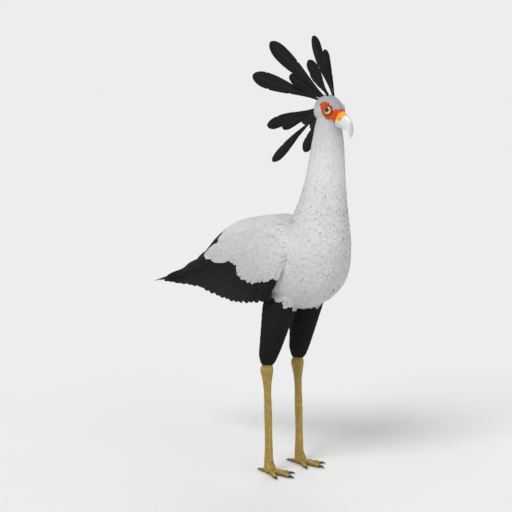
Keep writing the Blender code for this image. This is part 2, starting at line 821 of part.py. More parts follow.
def build_wings(parts, cutters):
    """One closed wing in tiers of overlapping vanes, cut clear of the body, and its mirror."""
    rng = np.random.default_rng(SEED)
    right = wing_arm(parts)
    vanes = new_collection("wing_vanes")
    for name, tier in WING_TIERS.items():
        wing_tier(name, tier, rng, vanes)
    fuse(right, vanes)
    clear_of_body(right, cutters)
    mirrored(right, "wing_left", parts)


def tail_vane(name, pair, side, rng, collection):
    """One tail feather, a level below the last one."""
    root = np.array((TAIL_ROOT[0], 0.0, TAIL_ROOT[1]))
    tip = np.array((TAIL_TIP[0], 0.0, TAIL_TIP[1]))
    way = unit(tip - root)
    reach = float(np.linalg.norm(tip - root)) - TAIL_SHORTENING[pair] * rng.uniform(0.97, 1.03)
    yaw = math.radians(TAIL_STEP_OUT * (pair + TAIL_FIRST_OUT)) * side
    heading = np.array((way[0] * math.cos(yaw), -way[0] * math.sin(yaw), way[2]))
    up = unit(np.cross((0, 1, 0), heading))
    up *= np.sign(up[2])
    steps = np.array(FLIGHT_STEPS)
    level = TAIL_STEP_DOWN * (2 * pair + (side > 0))
    start = root + np.array((0, side * TAIL_HALF_GAP, 0)) - up * level
    path = start + np.outer(steps * reach, heading) + np.outer(TAIL_ARCH * (steps - steps**2), up)
    across = np.repeat([(0.0, 1.0, 0.0)], len(steps), axis=0)
    widths = np.array(FLIGHT_SHAPE) * TAIL_WIDTH
    return vane(name, path, across, widths, "wing_plumage", collection)


def tail_covert(name, k, above, rng, collection):
    """A short feather over (above is 1) or under (-1) the tail's root."""
    height, slope, length = TAIL_COVERT_ROWS[above]
    place = k - (TAIL_COVERTS - 1) / 2
    root = np.array((TAIL_COVERT_ROOT, TAIL_COVERT_APART * place, height))
    way = unit((-1.0, TAIL_COVERT_FAN * place, slope))
    up = unit(np.cross((0, 1, 0), way))
    up *= np.sign(up[2])
    steps = np.array(TAIL_COVERT_STEPS)
    path = root + np.outer(steps * length * rng.uniform(0.92, 1.08), way)
    flat = unit(np.array((0, 1.0, 0)) - up * TAIL_COVERT_ROLL * place * above)
    across = np.repeat([flat], len(steps), axis=0)
    widths = np.array(TAIL_COVERT_SHAPE) * TAIL_COVERT_WIDTH
    return vane(name, path, across, widths, "grey_plumage", collection)


def build_tail(parts, cutters):
    rng = np.random.default_rng(SEED + 1)
    read = curve_through(TAIL_STUMP)
    rings = [spine_ring(read(t), STUMP_SIDES) for t in np.linspace(0, 1, STUMP_RINGS)]
    tail = loft("tail", rings, "wing_plumage", parts)
    vanes = new_collection("tail_vanes")
    for pair in range(TAIL_PAIRS):
        for side in (-1, 1):
            tail_vane(f"tail_{pair}_{side}", pair, side, rng, vanes)
    for k in range(TAIL_COVERTS):
        for above in (1, -1):
            tail_covert(f"covert_{k}_{above}", k, above, rng, vanes)
    fuse(tail, vanes)
    lean = math.radians(TAIL_END_PITCH)
    ahead = (math.cos(lean), 0, math.sin(lean))
    root = (TRUNK[0][0] - GAP, 0, TRUNK[0][1])
    cut_away(tail, root, ahead, cutters)
    keep_largest(tail)


def level_ring(x, y, z, depth, width, sides):
    return oval((x, y, z), (0, 1, 0), (1, 0, 0), width, depth, depth, sides)


def build_thigh(side, name, parts, cutters):
    """The feathered upper leg, cut to the underside of the body."""
    read = curve_through(THIGH)
    rings = []
    top = THIGH[0][1]
    bottom = THIGH[-1][1]
    for t in np.linspace(0, 1, THIGH_RINGS):
        x, z, depth, width = read(t)
        y = side * (STANCE - THIGH_LEANS_IN * (z - bottom) / (top - bottom))
        rings.append(level_ring(x, y, z, depth, width, THIGH_SIDES))
    clear_of_body(loft(name, rings, "black_plumage", parts), cutters)


def scute_rise(z, front):
    """How far a plate down the front of the shank stands out: most just above its lower edge."""
    share = (SCUTE_TOP - z) / (SCUTE_TOP - SCUTE_BOTTOM) * SCUTES
    if not 0 < share < SCUTES:
        return 0.0
    return SCUTE_RISE * (share % 1.0) * max(front, 0.0) ** 0.5


def build_shank(side, name, parts):
    """The bare leg with its joint, and a stepped plate for each scute down the front."""
    read = curve_through(SHANK)
    heights = [SHANK[0][1], *JOINT_HEIGHTS, SCUTE_TOP]
    plate = (SCUTE_TOP - SCUTE_BOTTOM) / SCUTES
    for k in range(1, SCUTES + 1):
        edge = SCUTE_TOP - k * plate
        heights += [edge + SCUTE_STEP, edge]
    heights.append(SHANK[-1][1])
    fine = np.array([read(t) for t in np.linspace(0, 1, 200)])
    rings = []
    for z in heights:
        x, depth, width = (np.interp(-z, -fine[:, 1], fine[:, k]) for k in (0, 2, 3))
        ring = level_ring(x, side * STANCE, z, depth, width, SHANK_SIDES)
        ahead = (ring[:, 0] - x) / depth
        ring[:, 0] += [scute_rise(z, f) for f in ahead]
        rings.append(ring)
    loft(name, rings, "leg_scales", parts)


def toe_frame(side, turn):
    """Ahead and sideways on the ground for a toe; a positive turn is towards the other foot."""
    yaw = -side * math.radians(turn)
    return np.array((math.cos(yaw), math.sin(yaw), 0)), np.array((-math.sin(yaw), math.cos(yaw), 0))


def toe(name, side, turn, length, size, collection):
    ahead, across = toe_frame(side, turn)
    rings = []
    for step, height in zip(TOE_STEPS, TOE_HEIGHTS):
        half = height * size
        centre = np.array((TOES_AHEAD, side * STANCE, half - SOLE_CUT)) + ahead * length * step
        rings.append(oval(centre, across, (0, 0, 1), half, half, half, TOE_SIDES))
    return loft(name, rings, "leg_scales", collection)


def claw(name, side, turn, length, size, collection):
    """A short curved claw that grows from the flat end of its toe."""
    ahead, across = toe_frame(side, turn)
    end = TOE_HEIGHTS[-1] * size - SOLE_CUT
    rings = []
    for step, thick, rise in CLAW_STEPS:
        reach = length + GAP + CLAW_LENGTH * size * step
        centre = np.array((TOES_AHEAD, side * STANCE, end + rise * size)) + ahead * reach
        lean = math.radians(CLAW_BEND * step)
        up = np.array((0, 0, math.cos(lean))) - ahead * math.sin(lean)
        half = thick * size
        rings.append(oval(centre, across, up, half * CLAW_FLAT, half, half, CLAW_SIDES))
    return loft(name, rings, "claw_horn", collection)


def build_foot(side, word, parts, cutters):
    rings = [level_ring(x, side * STANCE, z, deep, wide, ANKLE_SIDES) for x, z, deep, wide in ANKLE]
    foot = loft("foot_" + word, rings, "leg_scales", parts)
    toes = new_collection("toes")
    for name, (turn, length, size) in TOES.items():
        toe(f"toe_{name}", side, turn, length, size, toes)
        claw(f"claw_{name}_{word}", side, turn, length, size, parts)
    fuse(foot, toes)
    cut_away(foot, (0, 0, 0), (0, 0, -1), cutters)
    keep_largest(foot)


def centre_on_length(parts):
    """Moves the bird so that the origin lies under the middle of its length."""
    ends = [v.co.x for item in parts.objects for v in item.data.vertices]
    shift = -round((min(ends) + max(ends)) / 2, 4)
    for item in parts.objects:
        item.data.transform(Matrix.Translation((shift, 0, 0)))


def build():
    clear_scene()
    parts = new_collection("secretary_bird")
    cutters = new_collection("cutters")
    torso, neck, head = build_trunk_and_head(parts, cutters)
    build_face(head, parts, cutters)
    build_crest(head)
    build_bill(parts, cutters)
    build_wings(parts, cutters)
    build_tail(parts, cutters)
    for side, word in ((1, "left"), (-1, "right")):
        build_thigh(side, "thigh_" + word, parts, cutters)
        build_shank(side, "shank_" + word, parts)
        build_foot(side, word, parts, cutters)
    centre_on_length(parts)
    for item in parts.objects:
        item.data.shade_smooth()
        item.data.set_sharp_from_angle(angle=math.radians(SMOOTH_UNDER))


WING_READ = curve_through(WING_FACE, by_length=False)
build()
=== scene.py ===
"""Secretary bird, life size, with its crest raised: skin, plumage, bill, eyes, legs and studio.

Laid out as an add-on and run as a script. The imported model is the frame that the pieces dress.
Metres, +Z up. Places are given from the ground between the feet, with the bird facing +X and its
left side towards +Y, and piece() moves them to where the frame's feet stand.
"""

import json
import math

import bpy
import numpy as np
from mathutils import Matrix, Vector
from mathutils.bvhtree import BVHTree
from mathutils.kdtree import KDTree

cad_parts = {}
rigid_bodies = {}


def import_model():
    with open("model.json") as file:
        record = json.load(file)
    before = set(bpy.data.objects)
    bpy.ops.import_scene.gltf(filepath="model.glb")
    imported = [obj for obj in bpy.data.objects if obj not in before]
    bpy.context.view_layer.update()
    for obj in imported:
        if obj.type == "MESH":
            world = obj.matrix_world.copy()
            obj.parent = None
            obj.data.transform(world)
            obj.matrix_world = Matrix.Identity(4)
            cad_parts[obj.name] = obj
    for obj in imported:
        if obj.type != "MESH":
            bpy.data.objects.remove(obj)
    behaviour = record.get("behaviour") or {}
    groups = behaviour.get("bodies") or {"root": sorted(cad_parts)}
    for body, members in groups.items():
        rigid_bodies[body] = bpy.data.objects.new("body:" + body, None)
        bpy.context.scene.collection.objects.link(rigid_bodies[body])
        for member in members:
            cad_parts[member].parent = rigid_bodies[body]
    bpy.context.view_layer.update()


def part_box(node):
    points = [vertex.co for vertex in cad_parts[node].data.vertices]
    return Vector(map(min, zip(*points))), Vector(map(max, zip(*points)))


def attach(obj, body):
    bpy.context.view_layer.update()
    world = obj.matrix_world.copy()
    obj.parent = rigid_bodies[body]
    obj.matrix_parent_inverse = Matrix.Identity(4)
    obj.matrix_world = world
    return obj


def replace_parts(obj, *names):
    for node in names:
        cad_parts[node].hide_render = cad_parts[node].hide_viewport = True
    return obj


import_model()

bl_info = {
    "name": "Secretary Bird",
    "version": (1, 0, 0),
    "blender": (4, 5, 0),
    "location": "3D View > Sidebar > Bird",
    "description": "Builds a life-size secretary bird over its solid model",
    "category": "Object",
}

SEED = 29
SIDES = {"left": 1, "right": -1}

# Trunk and neck from the tail end to the throat: x, z, pitch of the spine in degrees, half width,
# reach above the spine, reach below it. These are the outside of the coat.
TRUNK = (
    (-0.310, 0.652, 18, 0.034, 0.038, 0.036),
    (-0.250, 0.668, 15, 0.060, 0.072, 0.062),
    (-0.170, 0.680, 10, 0.092, 0.110, 0.098),
    (-0.080, 0.680, 4, 0.118, 0.135, 0.130),
    (-0.010, 0.680, 6, 0.130, 0.146, 0.148),
    (0.055, 0.690, 24, 0.134, 0.148, 0.160),
    (0.107, 0.722, 42, 0.128, 0.132, 0.149),
    (0.135, 0.773, 62, 0.108, 0.099, 0.111),
    (0.146, 0.840, 76, 0.086, 0.078, 0.088),
    (0.158, 0.920, 83, 0.068, 0.064, 0.068),
    (0.166, 1.000, 86, 0.057, 0.055, 0.056),
    (0.171, 1.075, 87, 0.0475, 0.048, 0.047),
    (0.175, 1.125, 88, 0.0370, 0.042, 0.036),
    (0.178, 1.160, 88, 0.0240, 0.030, 0.024),
)

# The plane between neck and head: x, z and the slope of the way through it in degrees. Nothing
# lower than HEAD_LOWEST is head.
THROAT = (0.170, 1.092, 118)
HEAD_LOWEST = 1.05

# The head is given in its own frame, from a point between the eyes. It nods and turns. Its rows
# and those of the bill have the trunk's columns.
HEAD_X = 0.179
HEAD_Z = 1.156
HEAD_SIZE = 1.07
NOD = math.radians(-24)
TURN = math.radians(-8)
NECK_TO_PIVOT = 0.012
HEAD = (
    (-0.0510, -0.004, 0, 0.006, 0.008, 0.014),
    (-0.0440, -0.002, 0, 0.0215, 0.026, 0.033),
    (-0.0300, 0.0, 0, 0.0305, 0.0375, 0.041),
    (-0.0100, 0.0, 0, 0.0345, 0.0430, 0.044),
    (0.0120, 0.0, 0, 0.0325, 0.0405, 0.042),
    (0.0300, 0.0, 0, 0.0265, 0.0325, 0.036),
    (0.0430, 0.0, 0, 0.0205, 0.0250, 0.0305),
    (0.0500, 0.0, 0, 0.0180, 0.0215, 0.0270),
)
UPPER_BILL = (
    (0.0503, -0.0100, 0, 0.0178, 0.0312, 0.0008),
    (0.0620, -0.0098, -3, 0.0162, 0.0305, 0.0008),
    (0.0760, -0.0100, -9, 0.0130, 0.0272, 0.0010),
    (0.0880, -0.0135, -24, 0.0094, 0.0217, 0.0012),
    (0.0970, -0.0195, -45, 0.0062, 0.0152, 0.0014),
    (0.1018, -0.0275, -68, 0.0034, 0.0078, 0.0014),
    (0.1020, -0.0360, -88, 0.0007, 0.0010, 0.0008),
)
LOWER_BILL = (
    (0.0503, -0.0121, 0, 0.0168, 0.0008, 0.0128),
    (0.0620, -0.0121, 0, 0.0144, 0.0008, 0.0110),
    (0.0740, -0.0125, 0, 0.0104, 0.0008, 0.0082),
    (0.0830, -0.0143, 0, 0.0062, 0.0008, 0.0052),
    (0.0880, -0.0162, 0, 0.0018, 0.0008, 0.0018),
)
CERE_START = 0.0470
CERE_END = 0.0630
# The eye; its lids' opening in degrees from the way they look, with what makes it oval and lowers
# it under the brow; and the eye's flattened front.
EYE_PLACE = (0.0140, 0.0208, 0.0090)
EYE_RADIUS = 0.0155 / HEAD_SIZE
LID_LOOKS = (0.30, 0.95, 0.04)
LID_OPEN = 62
LID_OVAL = 2.5
LID_UNDER_BROW = 9
EYE_FLAT_FROM = 70
EYE_FLATNESS = 0.34
SOCKET = EYE_RADIUS * 0.68
# The lids' rolled rim: how far it stands off the eyeball, where it is in degrees past the
# opening, and its height and width.
LID_GAP = 0.0004
LID_ROLL_AT = 6
LID_ROLL = (0.0013, 4.5)
# Places in the head's frame, on the left side.
NOSTRIL = (0.0572, 0.0146, 0.0055)
GAPE_BACK = (0.020, 0.0325, -0.0160)
GAPE_FRONT = (0.052, 0.0180, -0.0110)
BROW_BACK = (-0.004, 0.0262, 0.0280)
BROW_FRONT = (0.0370, 0.0210, 0.0185)
# Heights and widths of the brow's ridge, of the mouth's line and the lips beside it, and of the
# nostril's slit and the rim beside it.
BROW_RIDGE = (0.0040, 0.0052)
MOUTH_LINE = (-0.0016, 0.0009)
LIP = (0.0009, 0.0014)
LIP_BESIDE = 0.0024
NOSTRIL_SLIT = (-0.0019, 0.0012)
NOSTRIL_RIM = (0.0004, 0.0009)
NOSTRIL_RIM_BESIDE = 0.0021
# Where the head's feathers end at the bill's root.
BILL_ROOT = 0.0475

# Legs: half the distance between them, and rings from the top down: x, z, half depth, half width.
STANCE = 0.0760
THIGH = (
    (0.052, 0.640, 0.052, 0.034),
    (0.046, 0.590, 0.062, 0.041),
    (0.034, 0.540, 0.060, 0.042),
    (0.020, 0.480, 0.050, 0.038),
    (0.006, 0.420, 0.040, 0.032),
    (-0.004, 0.380, 0.032, 0.027),
    (-0.006, 0.365, 0.0262, 0.0228),
)
# The thigh's plumage closes in round the shank.
THIGH_CUFF = ((-0.008, 0.357, 0.0218, 0.0190),)
THIGH_LEANS_IN = 0.014
SHANK = (
    (-0.006, 0.3740, 0.0165, 0.0135),
    (-0.008, 0.352, 0.0185, 0.0150),
    (-0.010, 0.336, 0.0225, 0.0180),
    (-0.009, 0.318, 0.0195, 0.0160),
    (-0.008, 0.296, 0.0155, 0.0128),
    (-0.004, 0.190, 0.0138, 0.0110),
    (-0.001, 0.080, 0.0140, 0.0115),
    (0.000, 0.036, 0.0165, 0.0145),
    (0.003, 0.024, 0.0190, 0.0170),
    (0.005, 0.012, 0.0195, 0.0175),
    (0.005, 0.002, 0.0160, 0.0145),
)
FOOT_HEIGHT = 0.036
TOES_AHEAD = 0.004
# Toes: turn from straight ahead in degrees (inwards is positive), length, and size.
TOES = {
    "middle": (0, 0.080, 1.0),
    "inner": (34, 0.062, 0.90),
    "outer": (-34, 0.064, 0.90),
    "hind": (176, 0.040, 0.85),
}
# Half the height of a toe of size 1 along it.
TOE_STEPS = (0.0, 0.18, 0.30, 0.40, 0.48, 0.58, 0.66, 0.76, 0.84, 0.93, 1.0)
TOE_HEIGHTS = (0.0125, 0.0104, 0.0092, 0.0090, 0.0098, 0.0084, 0.0078, 0.0078, 0.0084, 0.0074, 0.0060)
SOLE_CUT = 0.0012
CLAW_LENGTH = 0.021

# The closed wing's outer face from front to tip: x, middle height, half height, distance out.
WING_FACE = (
    (-0.500, 0.568, 0.014, 0.060),
    (-0.420, 0.588, 0.030, 0.068),
    (-0.320, 0.615, 0.055, 0.084),
    (-0.200, 0.642, 0.090, 0.110),
    (-0.100, 0.656, 0.106, 0.134),
    (0.000, 0.668, 0.108, 0.149),
    (0.070, 0.690, 0.085, 0.149),
    (0.120, 0.700, 0.045, 0.136),
)
# How the face draws in over and under its middle.
WING_TOP_CURL = 0.27
WING_LOW_CURL = 0.12
WING_CURL_LIMIT = 1.2
# The arm of the wing: x, top, bottom, thickness.
WING_ARM = (
    (0.116, 0.713, 0.692, 0.008),
    (0.102, 0.737, 0.668, 0.020),
    (0.055, 0.766, 0.640, 0.028),
    (-0.030, 0.772, 0.634, 0.031),
    (-0.100, 0.758, 0.644, 0.029),
    (-0.160, 0.733, 0.660, 0.025),
    (-0.215, 0.706, 0.672, 0.018),
    (-0.240, 0.692, 0.677, 0.010),
)

# The frame's feet show where the ground between the feet is.
STAND_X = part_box("foot_left")[1].x - TOES_AHEAD - TOES["middle"][1]


def curve_through(rows, by_length=True):
    """A smooth function of 0 to 1 (or of the first column) through rows; it takes arrays too."""
    rows = np.array(rows, float)
    if by_length:
        steps = np.linalg.norm(np.diff(rows[:, :2], axis=0), axis=1)
        keys = np.concatenate([[0.0], np.cumsum(steps)]) / steps.sum()
    else:
        keys = rows[:, 0]
    slopes = np.gradient(rows, keys, axis=0)

    def read(at):
        at = np.clip(np.asarray(at, float), keys[0], keys[-1])
        low = np.clip(np.searchsorted(keys, at, side="right") - 1, 0, len(keys) - 2)
        span = (keys[low + 1] - keys[low])[..., None]
        share = (at - keys[low])[..., None] / span
        square = share**2
        cube = share**3
        return (
            (2 * cube - 3 * square + 1) * rows[low]
            + (cube - 2 * square + share) * span * slopes[low]
            + (3 * square - 2 * cube) * rows[low + 1]
            + (cube - square) * span * slopes[low + 1]
        )

    return read


def unit(vectors):
    vectors = np.asarray(vectors, float)
    return vectors / np.maximum(np.linalg.norm(vectors, axis=-1, keepdims=True), 1e-12)


def ease(low, high, value):
    """0 at low, 1 at high, smooth between them."""
    share = np.clip((value - low) / (high - low), 0, 1)
    return share * share * (3 - 2 * share)


def ridge(distance, height, width):
    """How high a rounded ridge stands at a distance from its line; a groove if negative."""
    return height * np.exp(-((distance / width) ** 2))


def dot(one, two):
    return (one * two).sum(-1)


def read_line(table, at):
    """The straight-line reading of a table of pairs."""
    return np.interp(at, *np.array(table).T)


def full_turn(sides):
    return np.linspace(0, 2 * math.pi, sides, endpoint=False)


def turned_z(vectors, turn):
    """Vectors swung round the upright axis."""
    x, y, z = np.moveaxis(np.asarray(vectors, float), -1, 0)
    ahead = x * math.cos(turn) - y * math.sin(turn)
    return np.stack([ahead, x * math.sin(turn) + y * math.cos(turn), z], -1)


def linear(hex_colour):
    """A web colour as linear red, green and blue."""
    values = [int(hex_colour[k : k + 2], 16) / 255 for k in (1, 3, 5)]
    return tuple(v / 12.92 if v <= 0.04045 else ((v + 0.055) / 1.055) ** 2.4 for v in values)


TRUNK_READ = curve_through(TRUNK)
HEAD_READ = curve_through(HEAD)
SHANK_READ = curve_through(SHANK)
WING_READ = curve_through(WING_FACE, by_length=False)
SPINE_AT = np.linspace(0, 1, 241)
SPINE = TRUNK_READ(SPINE_AT)


def section(rows, turn, inset=0.0):
    """Points of egg-shaped sections square to a spine in the middle plane; 0 is the left side."""
    x, z, pitch, half, above, below = np.moveaxis(np.asarray(rows), -1, 0)
    lean = np.radians(pitch)
    lift = (np.where(np.sin(turn) > 0, above, below) - inset) * np.sin(turn)
    side = (half - inset) * np.cos(turn)
    return np.stack([x - np.sin(lean) * lift, side, z + np.cos(lean) * lift], -1)


def from_head(points):
    """Points of the head's own frame, placed on the bird."""
    x, y, z = np.moveaxis(np.asarray(points, float) * HEAD_SIZE, -1, 0)
    ahead = x * math.cos(NOD) - z * math.sin(NOD) + NECK_TO_PIVOT
    high = HEAD_Z + x * math.sin(NOD) + z * math.cos(NOD)
    x, y, z = np.moveaxis(turned_z(np.stack([ahead, y, high], -1), TURN), -1, 0)
    return np.stack([x + HEAD_X - NECK_TO_PIVOT, y, z], -1)


def to_head(points):
    """Places on the bird, in the head's own frame."""
    x, y, z = np.moveaxis(np.asarray(points, float), -1, 0)
    x = x - HEAD_X + NECK_TO_PIVOT
    z = z - HEAD_Z
    ahead = x * math.cos(TURN) + y * math.sin(TURN) - NECK_TO_PIVOT
    side = y * math.cos(TURN) - x * math.sin(TURN)
    back_x = ahead * math.cos(NOD) + z * math.sin(NOD)
    back_z = z * math.cos(NOD) - ahead * math.sin(NOD)
    return np.stack([back_x, side, back_z], -1) / HEAD_SIZE


def head_way(direction):
    """A direction of the bird, before the head's turn, as the head's own frame sees it."""
    x, y, z = np.moveaxis(np.asarray(direction, float), -1, 0)
    return np.stack([x * math.cos(NOD) + z * math.sin(NOD), y, z * math.cos(NOD) - x * math.sin(NOD)], -1)


def other_side(place, side):
    """A place given on the left, on the side asked for."""
    return np.array((place[0], place[1] * side, place[2]))


def mesh_from(name, points, faces):
    """A mesh from an array of points and an array of faces with equal corners."""
    mesh = bpy.data.meshes.new(name)
    mesh.vertices.add(len(points))
    mesh.vertices.foreach_set("co", np.ascontiguousarray(points, np.float32).ravel())
    mesh.loops.add(faces.size)
    mesh.loops.foreach_set("vertex_index", np.ascontiguousarray(faces, np.int32).ravel())
    mesh.polygons.add(len(faces))
    mesh.polygons.foreach_set("loop_start", np.arange(0, faces.size, faces.shape[1], dtype=np.int32))
    mesh.update(calc_edges=True)
    return mesh


def read_mesh(mesh):
    """The points, the triangles and the points' normals of a mesh."""
    mesh.calc_loop_triangles()
    points = np.empty(len(mesh.vertices) * 3)
    mesh.vertices.foreach_get("co", points)
    triangles = np.empty(len(mesh.loop_triangles) * 3, np.int32)
    mesh.loop_triangles.foreach_get("vertices", triangles)
    normals = np.empty(len(mesh.vertices) * 3)
    mesh.vertices.foreach_get("normal", normals)
    return points.reshape(-1, 3), triangles.reshape(-1, 3), normals.reshape(-1, 3)


def closed_grid(points):
    """Quads round rings of points, closed at both ends with fans; returns points and triangles."""
    rings, sides = points.shape[:2]
    ring, side = np.meshgrid(np.arange(rings - 1), np.arange(sides), indexing="ij")
    near = ring * sides + side
    after = ring * sides + (side + 1) % sides
    walls = np.stack([near, after, after + sides, near, after + sides, near + sides], -1).reshape(-1, 3)
    first = rings * sides
    k = np.arange(sides)
    low = np.stack([(k + 1) % sides, k, np.full(sides, first)], -1)
    top = (rings - 1) * sides
    high = np.stack([top + k, top + (k + 1) % sides, np.full(sides, first + 1)], -1)
    flat = np.concatenate([points.reshape(-1, 3), points[0].mean(0)[None], points[-1].mean(0)[None]])
    return flat, np.concatenate([walls, low, high])


def facing_out(points, faces):
    """The faces, turned over if the closed surface they make faces inwards."""
    a, b, c = (points[faces[:, k]] for k in range(3))
    return faces if dot(a, np.cross(b, c)).sum() > 0 else faces[:, ::-1]


def closed_mesh(name, points, faces):
    """A mesh of one closed surface that faces outwards."""
    return mesh_from(name, points, facing_out(points, faces))


def placed(name, data):
    """A new object in the scene."""
    made = bpy.data.objects.new(name, data)
    bpy.context.scene.collection.objects.link(made)
    return made


def finished_mesh(item):
    """The object's mesh with its modifiers applied; the object goes."""
    graph = bpy.context.evaluated_depsgraph_get()
    mesh = bpy.data.meshes.new_from_object(item.evaluated_get(graph))
    bpy.data.objects.remove(item)
    return mesh


def melted(name, shells, voxel, smoothing):
    """Closed shells joined into one smooth skin."""
    count = 0
    points = []
    faces = []
    for shell_points, shell_faces in shells:
        points.append(shell_points)
        faces.append(facing_out(shell_points, shell_faces) + count)
        count += len(shell_points)
    made = placed(name, mesh_from(name, np.concatenate(points), np.concatenate(faces)))
    remesh = made.modifiers.new("melt", "REMESH")
    remesh.mode = "VOXEL"
    remesh.voxel_size = voxel
    smooth = made.modifiers.new("relax", "SMOOTH")
    smooth.factor = 0.5
    smooth.iterations = smoothing
    return finished_mesh(made)


def piece(name, mesh, material, corner_maps=None, colours=None, smooth_under=50):
    """A finished piece: moved to the frame's feet, with its maps, colours, material and slot."""
    for label, places in (corner_maps or {}).items():
        layer = mesh.uv_layers.new(name=label)
        layer.uv.foreach_set("vector", np.ascontiguousarray(places, np.float32).ravel())
    if colours is not None:
        tone = mesh.color_attributes.new("tone", "FLOAT_COLOR", "POINT")
        full = np.ones((len(colours), 4), np.float32)
        full[:, : colours.shape[1]] = colours
        tone.data.foreach_set("color", full.ravel())
    mesh.transform(Matrix.Translation((STAND_X, 0, 0)))
    mesh.materials.clear()
    mesh.materials.append(material)
    mesh.shade_smooth()
    mesh.set_sharp_from_angle(angle=math.radians(smooth_under))
    made = placed(name, mesh)
    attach(made, "root")
    return made


def corner_points(mesh):
    """The point that each corner of the mesh's faces is at."""
    index = np.empty(len(mesh.loops), np.int32)
    mesh.loops.foreach_get("vertex_index", index)
    return index


def corner_values(mesh, values):
    """One value a corner from one value a point."""
    return values[corner_points(mesh)]


# Skin


# How deep the coat is: along trunk and neck from the tail end, on the head and on the thighs.
BODY_COAT = ((0.0, 0.004), (0.12, 0.007), (0.5, 0.008), (0.66, 0.0065), (0.85, 0.0045), (1.0, 0.003))
HEAD_COAT = 0.0028
THIGH_COAT = 0.006
# How far the bare legs' skin is drawn in under their scales.
SCALE_ROOM = 0.0005
# The flesh that the tail's quills are set in, in the trunk's columns.
TAIL_STUMP = (
    (-0.300, 0.655, 18, 0.034, 0.036, 0.034),
    (-0.345, 0.638, 20, 0.027, 0.024, 0.024),
    (-0.372, 0.628, 20, 0.020, 0.012, 0.014),
    (-0.388, 0.622, 20, 0.010, 0.003, 0.006),
)


def trunk_shell(rings, sides):
    """Trunk and neck under their coat."""
    share = np.linspace(0, 1, rings)
    inset = read_line(BODY_COAT, share)
    return closed_grid(section(TRUNK_READ(share)[:, None], full_turn(sides)[None], inset[:, None]))


def thigh_shell(side, rings, sides):
    """A thigh under its coat, down to the cuff round the shank."""
    rows = curve_through((*THIGH, *THIGH_CUFF))(np.linspace(0, 1, rings))
    return closed_grid(leg_ring(rows[:, None], full_turn(sides)[None], side, -THIGH_COAT, True))


def leg_ring(rows, turn, side, grow=0.0, leans=False):
    """Points round a leg; 0 is straight ahead and a quarter turn is to the left."""
    x, z, depth, width = np.moveaxis(np.asarray(rows), -1, 0)
    y = side * (STANCE - leans * THIGH_LEANS_IN * (z - THIGH[-1][1]) / (THIGH[0][1] - THIGH[-1][1]))
    ahead = x + (depth + grow) * np.cos(turn)
    return np.stack([ahead, y + (width + grow) * np.sin(turn), z + 0 * ahead], -1)


def eye_centre(side):
    return other_side(EYE_PLACE, side)


def lid_way(side):
    return head_way(unit(other_side(LID_LOOKS, side)))


def eye_axes(side):
    """The ways ahead and up across an eye's opening."""
    lid = lid_way(side)
    ahead = np.array((1.0, 0.0, 0.0))
    ahead = unit(ahead - lid * dot(ahead, lid))
    high = np.cross(lid, ahead)
    return ahead, high * np.sign(high[2])


def turn_round_eye(points, side):
    """The turn of places round an eye's opening, from straight ahead of it."""
    way = points - eye_centre(side)
    ahead, high = eye_axes(side)
    return np.arctan2(dot(way, high), dot(way, ahead))


def under_brow(turn):
    """How much of the brow is over the eye's rim at a turn round the opening."""
    return np.clip(np.sin(turn + 0.35), 0, 1) ** 2


def past_lids(points, side):
    """Degrees by which places lie outside the eye's opening, which is flattest under the brow."""
    way = unit(points - eye_centre(side))
    angle = np.degrees(np.arccos(np.clip(dot(way, lid_way(side)), -1, 1)))
    turn = turn_round_eye(points, side)
    return angle - LID_OPEN - LID_OVAL * np.cos(2 * turn) + LID_UNDER_BROW * under_brow(turn)


def shape_lids(points, side):
    """Draws the face in over the eyeball, with a rolled rim and folds round the opening.

    Before the eye the pull ends close to the rim, so that the root of the bill keeps its width.
    """
    centre = eye_centre(side)
    way = points - centre
    far = np.linalg.norm(way, axis=-1)
    wide = past_lids(points, side)
    rim = EYE_RADIUS + LID_GAP + ridge(wide - LID_ROLL_AT, *LID_ROLL)
    folds = 0.00030 * np.sin(wide * 0.95) * ease(8, 14, wide) * (1 - ease(24, 34, wide))
    reach = np.where(wide < 0, SOCKET, rim) + folds
    reach = reach + (SOCKET - reach) * (1 - ease(0.0, 2.5, wide))
    before = np.maximum(np.cos(turn_round_eye(points, side)), 0)
    share = 1 - ease(14 - 11 * before, 36 - 27 * before, wide)
    return centre + way * ((far + (reach - far) * share) / np.maximum(far, 1e-9))[..., None]


def line_distance(points, start, end):
    """How far points are from a line between two places, and their share along it."""
    along = end - start
    share = np.clip(dot(points - start, along) / dot(along, along), 0, 1)
    return np.linalg.norm(points - start - share[..., None] * along, axis=-1), share


def grid_normals(points):
    """Outward normals of rings of points round a closed form."""
    round_way = np.roll(points, -1, axis=1) - np.roll(points, 1, axis=1)
    long_way = np.gradient(points, axis=0)
    normals = unit(np.cross(round_way, long_way))
    outward = dot(normals, points - points.mean(axis=1, keepdims=True)).sum() > 0
    return normals if outward else -normals


def skull_points(rings, sides):
    """The head's skin with brows, cheeks, the line of the mouth and the lids."""
    points = section(HEAD_READ(np.linspace(0, 1, rings))[:, None], full_turn(sides)[None])
    out = grid_normals(points)
    feathered = 1 - bare_skin(points)
    points = points - out * (HEAD_COAT / HEAD_SIZE * feathered)[..., None]
    for side in SIDES.values():
        brow, along = line_distance(points, other_side(BROW_BACK, side), other_side(BROW_FRONT, side))
        raised = ridge(brow, *BROW_RIDGE) * (1 - 0.5 * along)
        gape, along = line_distance(points, other_side(GAPE_BACK, side), other_side(GAPE_FRONT, side))
        lip = ridge(gape - LIP_BESIDE, *LIP) * ease(0.0, 0.4, along + 0.1)
        near = points[..., 1] * side > 0
        points = points + out * ((raised + lip + ridge(gape, *MOUTH_LINE)) * near)[..., None]
        points = np.where(near[..., None], shape_lids(points, side), points)
    return from_head(points)


